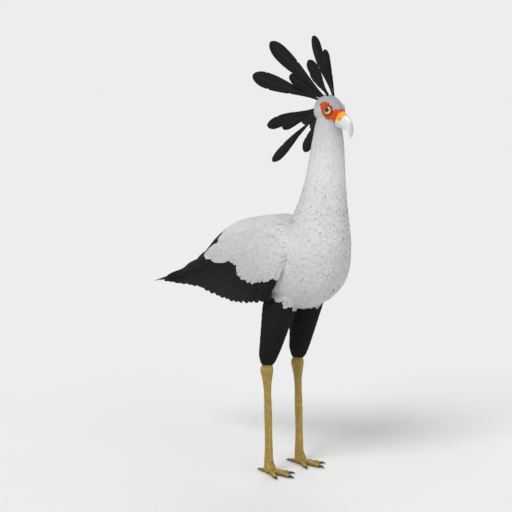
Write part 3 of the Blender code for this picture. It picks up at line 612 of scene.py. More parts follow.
# The bare mask's upper and lower edges in the head's frame: x and z.
MASK_TOP = (
    (-0.021, 0.0130),
    (-0.012, 0.0240),
    (-0.003, 0.0300),
    (0.008, 0.0315),
    (0.023, 0.0265),
    (0.035, 0.0205),
    (0.039, 0.0230),
    (0.043, 0.0300),
    (0.056, 0.0360),
)
MASK_LOW = (
    (-0.021, 0.0120),
    (-0.006, -0.0015),
    (0.004, -0.0095),
    (0.016, -0.0145),
    (0.0285, -0.0145),
    (0.0365, -0.0070),
    (0.045, -0.0135),
    (0.056, -0.0150),
)


def bare_skin(points):
    """1 on the bare face round the eye and to the bill, 0 on feathers, in the head's frame."""
    x, _, z = np.moveaxis(points, -1, 0)
    inside = np.minimum(read_line(MASK_TOP, x) - z, z - read_line(MASK_LOW, x))
    wavy = 0.0006 * np.sin(x * 900) + 0.0005 * np.sin(z * 1300 + 1)
    edge = np.minimum(inside, (x + 0.020) * 0.6) + wavy
    return ease(-0.0006, 0.0010, edge)


def cere_shell(rings, sides):
    """The fleshy cere over the bill's root, with a sunk slit for each nostril."""
    share = np.linspace(0, 1, rings)
    rows = curve_through(UPPER_BILL)(np.linspace(0, 0.17, rings))
    rows[:, 0] = CERE_START + share * (CERE_END - CERE_START)
    swell = 0.0009 * np.sin(math.pi * share**1.6)
    points = section(rows[:, None], full_turn(sides)[None], -swell[:, None])
    out = grid_normals(points)
    for side in SIDES.values():
        start = other_side(NOSTRIL, side) + (-0.0022, 0, -0.0008)
        gap, _ = line_distance(points, start, other_side(NOSTRIL, side) + (0.0022, 0, 0.0012))
        points = points + out * ridge(gap - NOSTRIL_RIM_BESIDE, *NOSTRIL_RIM)[..., None]
        points = points + out * ridge(gap, *NOSTRIL_SLIT)[..., None]
    return closed_grid(from_head(points))


def tail_stump_shell(rings=20, sides=40):
    rows = curve_through(TAIL_STUMP)(np.linspace(0, 1, rings))
    return closed_grid(section(rows[:, None], full_turn(sides)[None], 0.002))


def wing_face(x, z):
    """How far out the closed wing's face stands at a place on it."""
    _, middle, half, out = np.moveaxis(WING_READ(x), -1, 0)
    height = np.clip((z - middle) / half, -WING_CURL_LIMIT, WING_CURL_LIMIT)
    return out * (1 - np.where(height > 0, WING_TOP_CURL, WING_LOW_CURL) * height**2)


def wing_place(x, z, proud, side):
    """Points so far out of a closed wing's face, or under it if negative, and the way out of it."""
    step = 0.002
    slope_x = (wing_face(x + step, z) - wing_face(x - step, z)) / (2 * step)
    slope_z = (wing_face(x, z + step) - wing_face(x, z - step)) / (2 * step)
    out = unit(np.stack([-slope_x, np.full_like(slope_x, -1.0), -slope_z], -1))
    place = np.stack([x + 0 * z, -wing_face(x, z), z + 0 * x], -1) + out * np.asarray(proud)[..., None]
    flip = np.array((1.0, -side, 1.0))
    return place * flip, out * flip


def wing_arm_shell(side):
    """The flesh of the folded wing, a lens under its face."""
    rows = curve_through(WING_ARM)(np.linspace(0, 1, 50))
    down = np.linspace(0, 1, 16)
    x, top, bottom, thick = (rows[:, k, None] for k in range(4))
    z = top + (bottom - top) * down[None]
    belly = 0.32 + 0.68 * np.sin(math.pi * down[None])
    outer, _ = wing_place(x + 0 * z, z, np.full(z.shape, -0.003), side)
    inner, _ = wing_place(x + 0 * z, z, -0.001 - thick * belly, side)
    return closed_grid(np.concatenate([outer, inner[:, ::-1]], axis=1))


def toe_ways(side, turn):
    """Ahead and sideways on the ground for a toe; a positive turn is towards the other foot."""
    yaw = -side * math.radians(turn)
    return np.array((math.cos(yaw), math.sin(yaw), 0)), np.array((-math.sin(yaw), math.cos(yaw), 0))


def toe_shell(side, turn, length, size):
    """A toe with its joints, laid on the ground."""
    ahead, across = toe_ways(side, turn)
    step = np.linspace(0, 1, 40)
    half = np.interp(step, TOE_STEPS, TOE_HEIGHTS) * size
    centre = np.array((TOES_AHEAD, side * STANCE, 0)) + np.outer(step * length, ahead)
    centre[:, 2] = half - SOLE_CUT
    around = full_turn(24)
    reach = half - SCALE_ROOM
    wide = np.outer(reach, np.cos(around))[..., None] * across
    tall = np.outer(reach, np.sin(around))[..., None] * (0, 0, 1)
    return closed_grid(centre[:, None] + wide + tall)


def leg_shells(side):
    """A bare shank and its toes."""
    rows = SHANK_READ(np.linspace(0, 1, 90))
    shank = closed_grid(leg_ring(rows[:, None], full_turn(40)[None], side, -SCALE_ROOM))
    return [shank, *(toe_shell(side, *toe) for toe in TOES.values())]


def spine_place(points):
    """Shares along the spine, angles round it, how far out against the coat's outside, and its lean."""
    gap = points[:, None, [0, 2]] - SPINE[None, :, :2]
    nearest = dot(gap, gap).argmin(axis=1)
    rows = SPINE[nearest]
    lean = np.radians(rows[:, 2])
    lift = (points[:, 2] - rows[:, 1]) * np.cos(lean) - (points[:, 0] - rows[:, 0]) * np.sin(lean)
    tall = lift / np.where(lift > 0, rows[:, 4], rows[:, 5])
    wide = points[:, 1] / rows[:, 3]
    return SPINE_AT[nearest], np.arctan2(lift, points[:, 1]), np.hypot(tall, wide), lean


def past_throat(points):
    """How far places are on the head's side of the throat."""
    lean = math.radians(THROAT[2])
    return (points[:, 0] - THROAT[0]) * math.cos(lean) + (points[:, 2] - THROAT[1]) * math.sin(lean)


def turn_share(angle):
    """The share of a full turn, from the underside or from a leg's rear."""
    return (angle / (2 * math.pi) + 0.25) % 1.0


def length_share(value, start, length):
    return np.clip((value - start) / length, 0, 1)


def chart(zone, points):
    """An unwrap of the skin's own shape: places of one zone in a unit square."""
    side = 1 if zone.endswith("left") else -1
    x, y, z = points.T
    if zone == "trunk":
        high, angle, _, _ = spine_place(points)
        wide = turn_share(angle)
    elif zone == "head":
        x, y, z = to_head(points).T
        wide = turn_share(np.arctan2(z, y))
        high = length_share(x, -0.056, 0.125)
    elif zone.startswith("wing"):
        wide = length_share(x, -0.52, 0.66)
        high = length_share(z, 0.53, 0.26)
    elif zone.startswith("foot"):
        wide = length_share(x, -0.06, 0.18)
        high = length_share(y * side, 0.02, 0.12)
    else:
        rows = (*THIGH, *THIGH_CUFF) if zone.startswith("thigh") else SHANK
        low = rows[-1][1]
        middle_x = np.interp(z, [r[1] for r in rows[::-1]], [r[0] for r in rows[::-1]])
        wide = turn_share(np.arctan2(x - middle_x, (y - side * STANCE) * side))
        high = length_share(z, low, rows[0][1] - low)
    return np.stack([wide, high], -1)


# Where each zone of the skin lies in its bake map: left, bottom, width, height.
ATLAS = {
    "trunk": (0.01, 0.01, 0.56, 0.98),
    "head": (0.60, 0.62, 0.39, 0.37),
    "thigh_left": (0.60, 0.42, 0.18, 0.18),
    "thigh_right": (0.80, 0.42, 0.19, 0.18),
    "shank_left": (0.60, 0.12, 0.09, 0.28),
    "shank_right": (0.70, 0.12, 0.09, 0.28),
    "foot_left": (0.80, 0.27, 0.19, 0.13),
    "foot_right": (0.80, 0.12, 0.19, 0.13),
    "wing_left": (0.60, 0.01, 0.18, 0.09),
    "wing_right": (0.80, 0.01, 0.19, 0.09),
}


# The thighs stand out of the trunk below this height and before this place along x.
THIGH_TOP = 0.60
THIGH_BACK = -0.07


def zones_of(points, rest, named):
    """Zone names: rest, then each named zone with its side in turn, then the head over all."""
    side = np.where(points[:, 1] > 0, "left", "right")
    zones = np.full(len(points), rest, dtype="U16")
    for word, where in named:
        zones[where] = np.char.add(word + "_", side)[where]
    zones[(past_throat(points) > 0) & (points[:, 2] > HEAD_LOWEST)] = "head"
    return zones


def skin_zones(points):
    """The zone that each place on the skin belongs to."""
    _, _, out, _ = spine_place(points)
    x, y, high = points.T
    beside = (np.abs(y) > 0.05) & (x < 0.13)
    named = (
        ("thigh", (high < THIGH_TOP) & (out > 1.01) & (x > THIGH_BACK)),
        ("wing", (out > 0.99) & (high > THIGH_TOP) & (high < 0.80) & beside),
        ("shank", high < THIGH_CUFF[-1][1]),
        ("foot", high < FOOT_HEIGHT),
    )
    return zones_of(points, "trunk", named)


def skin_map(mesh):
    """The skin's bake map: each face lies whole in its own zone's chart."""
    points, _, _ = read_mesh(mesh)
    total = np.empty(len(mesh.polygons), np.int32)
    mesh.polygons.foreach_get("loop_total", total)
    face = np.repeat(np.arange(len(total)), total)
    places = points[corner_points(mesh)]
    middle = np.stack([np.bincount(face, places[:, k]) for k in range(3)], -1) / total[:, None]
    zone = skin_zones(middle)
    uv = np.zeros((len(places), 2))
    for name, (left, bottom, wide, tall) in ATLAS.items():
        mine = zone[face] == name
        if not mine.any():
            continue
        local = chart(name, places[mine])
        centre = chart(name, middle[zone == name])
        own = np.cumsum(zone == name)[face[mine]] - 1
        away = local[:, 0] - centre[own, 0]
        local[:, 0] = np.clip(local[:, 0] - np.round(away), 0, 1)
        uv[mine] = local * (wide, tall) + (left, bottom)
    return uv


# Markings, and painted shade by height, the same for skin and coat

# How light the grey of neck and body is at heights above the ground: painted shade low on the body and at
# the top of the neck and the head, painted light on the middle of the neck.
PAINTED_BODY_SHADE = (
    (0.52, 0.84),
    (0.66, 0.92),
    (0.80, 1.0),
    (1.00, 1.14),
    (1.04, 1.07),
    (1.07, 1.0),
    (1.10, 0.92),
    (1.14, 0.82),
)


def toward(base, colour, share):
    """Colours drawn towards one colour by a share each."""
    return base + (np.array(colour) - base) * share[:, None]


def markings_and_painted_shade(points, zones, colours):
    """The colour of the plumage or skin at places on the bird, with painted shade and light by height."""
    # Painted shade and light: the grey is made darker or lighter by height above the ground.
    result = np.array(colours.body)[None] * read_line(PAINTED_BODY_SHADE, points[:, 2])[:, None]
    share, angle, _, _ = spine_place(points)
    rump = 1 - ease(0.133, 0.141, share + 0.012 * np.sin(angle * 9))
    under = ease(0.50, 0.75, -np.sin(angle) + 0.06 * np.sin(share * 120))
    vent = (1 - ease(0.36, 0.44, share)) * under
    x, _, z = to_head(points).T
    head = zones == "head"
    crown = ease(-0.002, 0.020, z + 0.25 * x) * ease(-0.01, 0.02, past_throat(points))
    result = toward(result, colours.crown, crown * head)
    dark = np.where(head, 0.0, np.maximum(rump, vent))
    return toward(result, colours.black, np.where(np.char.startswith(zones, "thigh"), 1.0, dark))


def face_colours(points, base, colours):
    """Adds the bare mask and the cere to the colours of the head's skin, darkens the lids' rims, and
    paints shade into the nostrils' slits.
    """
    head = to_head(points)
    x, y, z = head.T
    base = toward(base, colours.mask, bare_skin(head))
    root = ease(BILL_ROOT, 0.0490, x) * ease(-0.0170, -0.0152, z)
    base = toward(base, colours.bill, root)
    base = toward(base, colours.cere, root * ease(-0.0026, -0.0010, z))
    dark = np.zeros(len(points))
    for side in SIDES.values():
        way = head - eye_centre(side)
        near = (y * side > 0) & (np.linalg.norm(way, axis=-1) < EYE_RADIUS * 1.5)
        rim = 1 - ease(3, 8, past_lids(head, side))
        dark = np.maximum(dark, rim * near)
        # Painted shade: the nostril's slit is darkened almost to black.
        slit = other_side(NOSTRIL, side)
        gap, _ = line_distance(head, slit - (0.002, 0, 0.001), slit + (0.002, 0, 0.001))
        dark = np.maximum(dark, ridge(gap, 1.0, 0.0011))
    return toward(base, colours.black, 0.92 * dark)


def pebbled(points):
    """How strongly the face's skin is pebbled: most on the mask, hardly on the cere."""
    head = to_head(points)
    return bare_skin(head) * 0.60 * (1 - ease(0.0465, 0.0500, head[:, 0])) + 0.06


# How finely the closed shells are melted together.
BODY_VOXEL = 0.005
LEG_VOXEL = 0.0019
FORM_VOXEL = 0.003


def join_shapes(meshes):
    """One closed mesh from several closed ones."""
    base = placed("join", meshes[0])
    others = bpy.data.collections.new("join")
    bpy.context.scene.collection.children.link(others)
    for mesh in meshes[1:]:
        others.objects.link(bpy.data.objects.new("join_part", mesh))
    step = base.modifiers.new("join", "BOOLEAN")
    step.operation = "UNION"
    step.solver = "MANIFOLD"
    step.operand_type = "COLLECTION"
    step.collection = others
    mesh = finished_mesh(base)
    for item in list(others.objects):
        bpy.data.objects.remove(item)
    bpy.data.collections.remove(others)
    return mesh


def flesh_mesh():
    """The whole skin: body, neck, head, wing arms and legs as one closed surface."""
    body = [trunk_shell(120, 96), tail_stump_shell()]
    for side in SIDES.values():
        body += [thigh_shell(side, 50, 48), wing_arm_shell(side)]
    meshes = [melted("body", body, BODY_VOXEL, 6)]
    for shell in (closed_grid(skull_points(130, 190)), cere_shell(40, 96)):
        meshes.append(closed_mesh("face", *shell))
    for side in SIDES.values():
        leg = melted("leg", leg_shells(side), LEG_VOXEL, 2)
        points, _, _ = read_mesh(leg)
        points[:, 2] = np.maximum(points[:, 2], 0.0)
        leg.vertices.foreach_set("co", points.ravel())
        meshes.append(leg)
    return join_shapes(meshes)


class Form:
    """The smooth surface that the coat is laid on, with quick ways back to it."""

    def __init__(self):
        shells = [trunk_shell(160, 128), tail_stump_shell()]
        shells += [thigh_shell(side, 60, 64) for side in SIDES.values()]
        shells.append(closed_grid(skull_points(90, 130)))
        mesh = melted("form", shells, FORM_VOXEL, 5)
        self.points, self.triangles, self.normals = read_mesh(mesh)
        bpy.data.meshes.remove(mesh)
        self.tree = BVHTree.FromPolygons(self.points.tolist(), self.triangles.tolist())

    def settle(self, places):
        """The nearest places on the form and its smooth normals there."""
        found = [self.tree.find_nearest(p) for p in places.tolist()]
        on = np.array([f[0] for f in found])
        corners = self.triangles[[f[2] for f in found]]
        a, b, c = (self.points[corners[:, k]] for k in range(3))
        whole = np.cross(b - a, c - a)
        size = np.maximum(dot(whole, whole), 1e-18)
        share_a = dot(np.cross(b - on, c - on), whole) / size
        share_b = dot(np.cross(c - on, a - on), whole) / size
        shares = np.stack([share_a, share_b, 1 - share_a - share_b], -1)
        return on, unit((self.normals[corners] * shares[..., None]).sum(axis=1))

    def scatter(self, spacing, rng):
        """Places spread over the form, no two nearer than the spacing asked for there."""
        a, b, c = (self.points[self.triangles[:, k]] for k in range(3))
        area = np.linalg.norm(np.cross(b - a, c - a), axis=1) / 2
        apart = spacing((a + b + c) / 3)
        weight = np.where(apart > 0, area / np.maximum(apart, 1e-4) ** 2, 0)
        chosen = rng.choice(len(area), int(weight.sum() * 4.5), p=weight / weight.sum())
        one, two = rng.random((2, len(chosen), 1))
        flip = one + two > 1
        one, two = np.where(flip, 1 - one, one), np.where(flip, 1 - two, two)
        places = a[chosen] + (b - a)[chosen] * one + (c - a)[chosen] * two
        reach = apart[chosen]
        tree = KDTree(len(places))
        for k, place in enumerate(places.tolist()):
            tree.insert(place, k)
        tree.balance()
        kept = np.zeros(len(places), bool)
        free = np.ones(len(places), bool)
        for k, place in enumerate(places.tolist()):
            if free[k]:
                kept[k] = True
                for _, other, _ in tree.find_range(place, reach[k]):
                    free[other] = False
        return places[kept]


# Feathers

# The small feathers' stations and their half widths there, and the side of the patch that each
# takes in its bake map.
BLADE_STEPS = np.array((0.0, 0.30, 0.60, 0.86, 1.0))
BLADE_SHAPE = np.array((0.35, 0.88, 1.0, 0.82, 0.24))
PATCH = 0.003


def ring_faces(count, stations, ring):
    """Quads of closed forms, each of so many rings; a ring runs over the top and back under it."""
    k, c = np.meshgrid(np.arange(stations - 1), np.arange(ring), indexing="ij")
    near = (k * ring + c).ravel()
    after = (k * ring + (c + 1) % ring).ravel()
    walls = np.stack([near, near + ring, after + ring, after], -1)
    c = np.arange(ring // 2 - 1)
    cap = np.stack([c, c + 1, ring - 2 - c, ring - 1 - c], -1)
    quads = np.concatenate([walls, cap, ring * (stations - 1) + cap[:, ::-1]])
    return (quads[None] + (np.arange(count) * stations * ring)[:, None, None]).reshape(-1, 4)


def blades(path, side, out, half, thick):
    """Closed thin leaves: rings of left edge, top, right edge and underside along each path."""
    left = path - side * half[..., None]
    right = path + side * half[..., None]
    top = path + out * thick[..., None]
    low = path - out * (thick * 0.25)[..., None]
    points = np.stack([left, top, right, low], axis=2)
    return points.reshape(-1, 3), ring_faces(*points.shape[:3])


def own_places(across, steps, count):
    """Places across and along each of so many feathers of the same stations."""
    places = np.stack(np.broadcast_arrays(np.array(across)[None], steps[:, None]), -1).reshape(-1, 2)
    return np.tile(places, (count, 1))


def small_feathers(name, material, lines, width, thick, spots, tone):
    """A piece of small feathers, each with a small patch at its root's spot in the bake map.

    Lines are their paths, sides and outward ways.
    """
    half = BLADE_SHAPE[None] * width[:, None]
    points, faces = blades(*lines, half, thick)
    mesh = mesh_from(name, points, faces)
    each = len(BLADE_STEPS) * 4
    own = own_places((0.0, 0.5, 1.0, 0.5), BLADE_STEPS, len(width))
    patch = np.clip(np.repeat(spots, each, axis=0) + (own - 0.5) * PATCH, 0, 1)
    maps = {"Vane": corner_values(mesh, own), "OFBake": corner_values(mesh, patch)}
    return piece(name, mesh, material, maps, np.repeat(tone, each, axis=0))


# The small feathers' length along trunk and neck, its share at low places, and its length on the
# head from back to bill and on the thighs by height.
COAT_LENGTH = (
    (0.0, 0.030),
    (0.10, 0.038),
    (0.36, 0.036),
    (0.50, 0.031),
    (0.62, 0.029),
    (0.78, 0.026),
    (1.0, 0.018),
)
BELLY_SHARE = ((0.53, 0.70), (0.62, 1.0))
HEAD_LENGTH = ((-0.05, 0.0130), (0.05, 0.0060))
THIGH_LENGTH = ((0.36, 0.011), (0.41, 0.018), (0.56, 0.030))
# How far apart small feathers stand and how wide they are to each side, as shares of their length.
COAT_SHARES = (0.178, 0.225)
ZONE_SHARES = {"head": (0.185, 0.19), "neck": (0.155, 0.155), "thigh": (0.205, 0.20)}
# Where the neck and the breast begin along the spine, where the coat ends over the tail along x,
# and the lowest height of the head's way of lying.
NECK_FROM = 0.60
BREAST_FROM = 0.40
COAT_END = -0.375
NAPE_LOWEST = 1.0


def toward_head(points, low, high):
    """0 on the neck and 1 on the head, smooth between two distances past the throat."""
    return ease(low, high, past_throat(points)) * (points[:, 2] > NAPE_LOWEST)


def coat_sizes(points, zones):
    """Feather length and depth of the coat at places on the form."""
    share, _, _, _ = spine_place(points)
    length = read_line(COAT_LENGTH, share) * read_line(BELLY_SHARE, points[:, 2])
    depth = read_line(BODY_COAT, share)
    head = to_head(points)
    weight = toward_head(points, -0.025, 0.012)
    length = length + (read_line(HEAD_LENGTH, head[:, 0]) - length) * weight
    depth = depth + (HEAD_COAT - depth) * weight
    leg = np.char.startswith(zones, "thigh")
    length = np.where(leg, read_line(THIGH_LENGTH, points[:, 2]), length)
    return length, np.where(leg, THIGH_COAT, depth)


def coat_shares(zones):
    """How far apart feathers stand and their half width, as shares of their length."""
    shares = np.tile(COAT_SHARES, (len(zones), 1))
    for zone, values in ZONE_SHARES.items():
        shares[np.char.startswith(zones, zone)] = values
    return shares.T


def coat_lie(points, zones):
    """The way that feathers lie at places on the form."""
    _, _, out, lean = spine_place(points)
    lie = np.stack([-np.cos(lean), np.zeros(len(points)), -np.sin(lean)], -1)
    leg = ease(1.0, 1.3, out) * (points[:, 2] < 0.62) * np.char.startswith(zones, "thigh")
    down = np.array((-0.25, 0.0, -1.0))
    lie = lie + (down - lie) * leg[:, None]
    head = to_head(points)
    turn_down = ease(0.0, -0.045, head[:, 0])
    low = ease(-0.012, -0.040, head[:, 2])
    back = np.stack([-1 + 0.9 * turn_down, 0 * turn_down, -0.12 - turn_down - 0.6 * low], -1)
    weight = toward_head(points, -0.03, 0.01)
    return unit(lie + (back - lie) * weight[:, None])


def coat_zone(points):
    """Which coat piece a place belongs to."""
    share, angle, out, _ = spine_place(points)
    x, _, high = points.T
    rear = share <= BREAST_FROM
    upper = np.sin(angle) > 0
    named = (
        ("neck", share > NECK_FROM),
        ("breast", (share <= NECK_FROM) & (share > BREAST_FROM)),
        ("back", rear & upper),
        ("belly", rear & ~upper),
        ("thigh", (high < THIGH_TOP) & (out > 0.99) & (x > THIGH_BACK) & (x < 0.12)),
    )
    return zones_of(points, "body", named)


def bare_places(points, zones):
    """True where no small feather grows: the face, the bill's root and the ends of the body."""
    head = to_head(points)
    bare = (zones == "head") & ((bare_skin(head) > 0.35) | (head[:, 0] > BILL_ROOT))
    bare |= points[:, 2] < THIGH_CUFF[-1][1] + 0.002
    bare |= points[:, 0] < COAT_END
    return bare


def under_wing(points):
    """True where the closed wing hides the body."""
    _, middle, half, _ = np.moveaxis(WING_READ(points[:, 0]), -1, 0)
    hidden = np.abs(points[:, 2] - middle) < half * 0.62
    return hidden & (points[:, 0] < 0.08) & (points[:, 0] > -0.30) & (np.abs(points[:, 1]) > 0.03)


def lay_coat(form, density, rng):
    """The roots of all the small feathers, and the coat piece that each is in."""

    def spacing(points):
        zones = coat_zone(points)
        length, _ = coat_sizes(points, zones)
        close, _ = coat_shares(zones)
        apart = length * close / density
        apart = np.where(under_wing(points), apart * 2.2, apart)
        return np.where(bare_places(points, zones), 0.0, apart)

    roots = form.scatter(spacing, rng)
    return roots, coat_zone(roots)


def grow_feathers(form, roots, zones, rng):
    """The middle line, the sides and the outward ways of feathers that follow the form."""
    count = len(roots)
    length, depth = coat_sizes(roots, zones)
    length = length * rng.uniform(0.82, 1.15, count)
    place, normal = form.settle(roots)
    way = coat_lie(place, zones)
    swing = np.radians(rng.normal(0, 7, count))[:, None]
    way = unit(way - normal * dot(way, normal)[:, None])
    way = way * np.cos(swing) + np.cross(normal, way) * np.sin(swing)
    tip = depth * rng.uniform(0.84, 1.0, count)
    path = []
    out = []
    side = []
    for k, step in enumerate(BLADE_STEPS):
        rise = tip * (0.10 + 0.90 * math.sin(step * math.pi / 2))
        path.append(place + normal * rise[:, None])
        out.append(normal)
        side.append(np.cross(normal, way))
        if k + 1 < len(BLADE_STEPS):
            stride = length * (BLADE_STEPS[k + 1] - step)
            place, normal = form.settle(place + way * stride[:, None])
            way = unit(way - normal * dot(way, normal)[:, None])
    path, out, side = (np.stack(rows, axis=1) for rows in (path, out, side))
    return path, side, out, length


def coat_piece(name, form, roots, zones, colours, material, rng):
    """One coat piece: its feathers laid on the form, coloured by the markings at their roots."""
    *lines, length = grow_feathers(form, roots, zones, rng)
    _, slender = coat_shares(zones)
    width = length * slender * rng.uniform(0.85, 1.15, len(roots))
    thick = np.repeat(np.maximum(width * 0.045, 0.00016)[:, None], len(BLADE_STEPS), axis=1)
    thick[:, -1] *= 0.3
    skin_zone = "head" if name.endswith("head") else "trunk"
    if "thigh" in name:
        skin_zone = name.replace("coat_", "")
    tone = markings_and_painted_shade(roots, zones, colours)
    tone = tone * rng.normal(1.0, 0.03, (len(roots), 1)).clip(0.9, 1.1)
    return small_feathers(name, material, lines, width, thick, chart(skin_zone, roots), tone)


# Quills: the large feathers of wings, tail and crest

# Places across a vane, as shares of its half widths.
ACROSS = np.array((-1.0, -0.86, -0.55, -0.22, -0.05, 0.0, 0.05, 0.22, 0.55, 0.86, 1.0))


def steps_to_tip(tip, even, close):
    """Shares along a feather: even ones up to its tip's part, then closer and closer ones."""
    near_tip = 1 - tip * np.linspace(1, 0, close) ** 1.6
    return np.concatenate([np.linspace(0, 1 - tip, even, endpoint=False), near_tip])


QUILL_STEPS = steps_to_tip(0.16, 26, 10)
CREST_STEPS = steps_to_tip(0.20, 40, 20)


def quills(middle, side, out, left, right, shaft, camber, ripple):
    """Closed large feathers with a raised shaft; left and right are the vane's half widths."""
    reach = np.where(ACROSS[None, None] < 0, left[..., None], right[..., None]) * np.abs(ACROSS)
    offset = np.sign(ACROSS) * reach
    drop = camber * reach * np.abs(ACROSS) ** 1.5
    raised = ridge(ACROSS, shaft[..., None], 0.07)
    height = raised - drop + ripple * np.abs(ACROSS) ** 2
    thin = 0.00035 * (1 - 0.6 * np.abs(ACROSS)) + 0.5 * raised
    centre = middle[:, :, None] + side[:, :, None] * offset[..., None]
    top = centre + out[:, :, None] * height[..., None]
    low = centre + out[:, :, None] * (height - thin - raised)[..., None]
    return shells_of(top, low)


def shells_of(top, low):
    """Closed thin plates from grids of top and under points: (plates, rows, columns, 3)."""
    points = np.concatenate([top, low[:, :, ::-1]], axis=2)
    return points.reshape(-1, 3), ring_faces(*points.shape[:3])


def large_feathers(name, material, lines, vanes, shaft, camber, steps, tone, ripple=0.0):
    """A piece of large feathers with a map of their own and a strip for each in the bake map.

    Lines are their middles, sides and outward ways, vanes the half widths to left and right, and
    tone gives a colour for each feather and station.
    """
    count = len(lines[0])
    points, faces = quills(*lines, *vanes, shaft, camber, ripple)
    mesh = mesh_from(name, points, faces)
    across = np.concatenate([ACROSS, ACROSS[::-1]]) * 0.5 + 0.5
    own = own_places(across, steps, count)
    strip = np.repeat(np.arange(count), len(steps) * len(across))
    under = np.tile(np.repeat((0.0, 0.5), len(ACROSS)), len(steps) * count)
    wide = (strip + 0.04 + 0.44 * own[:, 0] + under) / count
    baked = np.stack([wide, 0.01 + 0.98 * own[:, 1]], -1)
    maps = {"Vane": corner_values(mesh, own), "OFBake": corner_values(mesh, baked)}
    return piece(name, mesh, material, maps, np.repeat(tone.reshape(-1, 3), len(across), axis=0))


def frayed(count, stations, rng, splits, deep):
    """Shares by which a vane's edge is drawn in: a few splits between the barbs, and a fine fray."""
    edge = 1 - rng.random((count, stations)) * 0.012
    for row in edge:
        for _ in range(rng.poisson(splits)):
            at = rng.integers(stations // 3, stations - stations // 6)
            row[at] *= 1 - deep * rng.uniform(0.4, 1.0)
    return edge


def quill_outline(steps, blunt, narrow_root):
    """The half width of a flight feather along its length."""
    base = narrow_root + (1 - narrow_root) * ease(0.02, 0.35, steps)
    tip = np.sqrt(np.clip(1 - ((steps - 1 + blunt) / blunt).clip(0, 1) ** 2, 0, 1))
    return base * (0.10 + 0.90 * tip)


# Tiers of wing feathers: how many, the roots' line and the tips' line in (x, z) from the foremost
# feather back, width, how far out of the face at root and at tip, arch, vane ahead of shaft.
WING_TIERS = {
    "primaries": (
        10,
        ((-0.095, 0.664), (-0.120, 0.672), (-0.150, 0.682)),
        ((-0.330, 0.562), (-0.455, 0.562), (-0.500, 0.572), (-0.425, 0.604)),
        0.034,
        (-0.0150, -0.0150),
        0.006,
        0.32,
    ),
    "secondaries": (
        18,
        ((0.065, 0.660), (0.000, 0.652), (-0.080, 0.660), (-0.150, 0.684)),
        ((0.030, 0.566), (-0.085, 0.550), (-0.215, 0.554), (-0.330, 0.582), (-0.395, 0.618)),
        0.042,
        (-0.0100, -0.0080),
        0.007,
        0.42,
    ),
    "greater_coverts": (
        17,
        ((0.088, 0.680), (0.010, 0.662), (-0.080, 0.672), (-0.140, 0.692), (-0.185, 0.706)),
        ((0.050, 0.608), (-0.050, 0.596), (-0.140, 0.612), (-0.230, 0.640), (-0.318, 0.658)),
        0.038,
        (-0.0050, -0.0005),
        0.006,
        0.46,
    ),
    "median_coverts": (
        24,
        ((0.100, 0.700), (0.030, 0.690), (-0.060, 0.700), (-0.120, 0.716), (-0.170, 0.722)),
        ((0.078, 0.641), (0.000, 0.621), (-0.086, 0.635), (-0.168, 0.673), (-0.280, 0.683)),
        0.028,
        (-0.0030, 0.0012),
        0.004,
        0.5,
    ),
}


# How far each feather of a tier is turned so that it laps over the next.
FEATHER_LEAN = math.radians(7)


def wing_tier(tier, side, loose, rng):
    """One tier's feathers: middle lines, sides and outward ways on the wing's face."""
    count, roots, tips, width, depths, arch, ahead = tier
    share = np.linspace(0, 1, count)
    root = curve_through(roots)(share)
    tip = curve_through(tips)(share)
    tip = root + (tip - root) * rng.uniform(0.96 - loose, 1.02, (count, 1))
    tip = tip + rng.normal(0, 0.001 + 0.03 * loose, (count, 2))
    steps = QUILL_STEPS[None]
    x = root[:, :1] + (tip - root)[:, :1] * steps
    z = root[:, 1:] + (tip - root)[:, 1:] * steps + arch * np.sin(math.pi * steps)
    depth = depths[0] + (depths[1] - depths[0]) * steps + 0 * x
    middle, out = wing_place(x, z, depth, side)
    along = unit(np.gradient(middle, axis=1))
    down = unit(np.cross(out, along))
    down = down * -np.sign(down[..., 2:3])
    lean = FEATHER_LEAN
    across = down * math.cos(lean) + out * math.sin(lean)
    return (middle, across, out), width * rng.uniform(0.95, 1.05, count), ahead


# The ragged border on the closed wing over which its feathers are pale: x and z.
PALE_BORDER = (
    (-0.320, 0.664),
    (-0.263, 0.671),
    (-0.184, 0.668),
    (-0.125, 0.680),
    (-0.083, 0.670),
    (-0.070, 0.613),
    (-0.026, 0.605),
    (0.012, 0.610),
    (0.050, 0.621),
    (0.120, 0.640),
)


def over_border(x, z):
    """True over the ragged border on the closed wing."""
    return z > read_line(PALE_BORDER, x)


def wing_tone(x, z, colours, rng):
    """The colour of each wing feather from a place near its end: pale over the border with painted shade
    by height, else black.
    """
    pale = over_border(x, z)
    # Painted shade: pale feathers are darker low on the wing and lighter high on it.
    painted_shade = np.interp(z, (0.60, 0.78), (0.90, 1.06))[:, None]
    tone = np.where(pale[:, None], np.array(colours.coverts) * painted_shade, np.array(colours.black))
    return tone * rng.normal(1.0, 0.05, (len(x), 1)).clip(0.85, 1.15)


def tier_colours(name, middle, colours, rng):
    """The colours of the wing's large feathers along them, a little darker at their ends."""
    tone = wing_tone(middle[:, -1, 0], middle[:, -1, 2], colours, rng)
    if name != "median_coverts":
        tone = np.array(colours.black) * rng.uniform(0.75, 1.10, (len(middle), 1))
    end = 1 - 0.10 * ease(0.80, 0.97, QUILL_STEPS)
    return tone[:, None] * end[None, :, None]


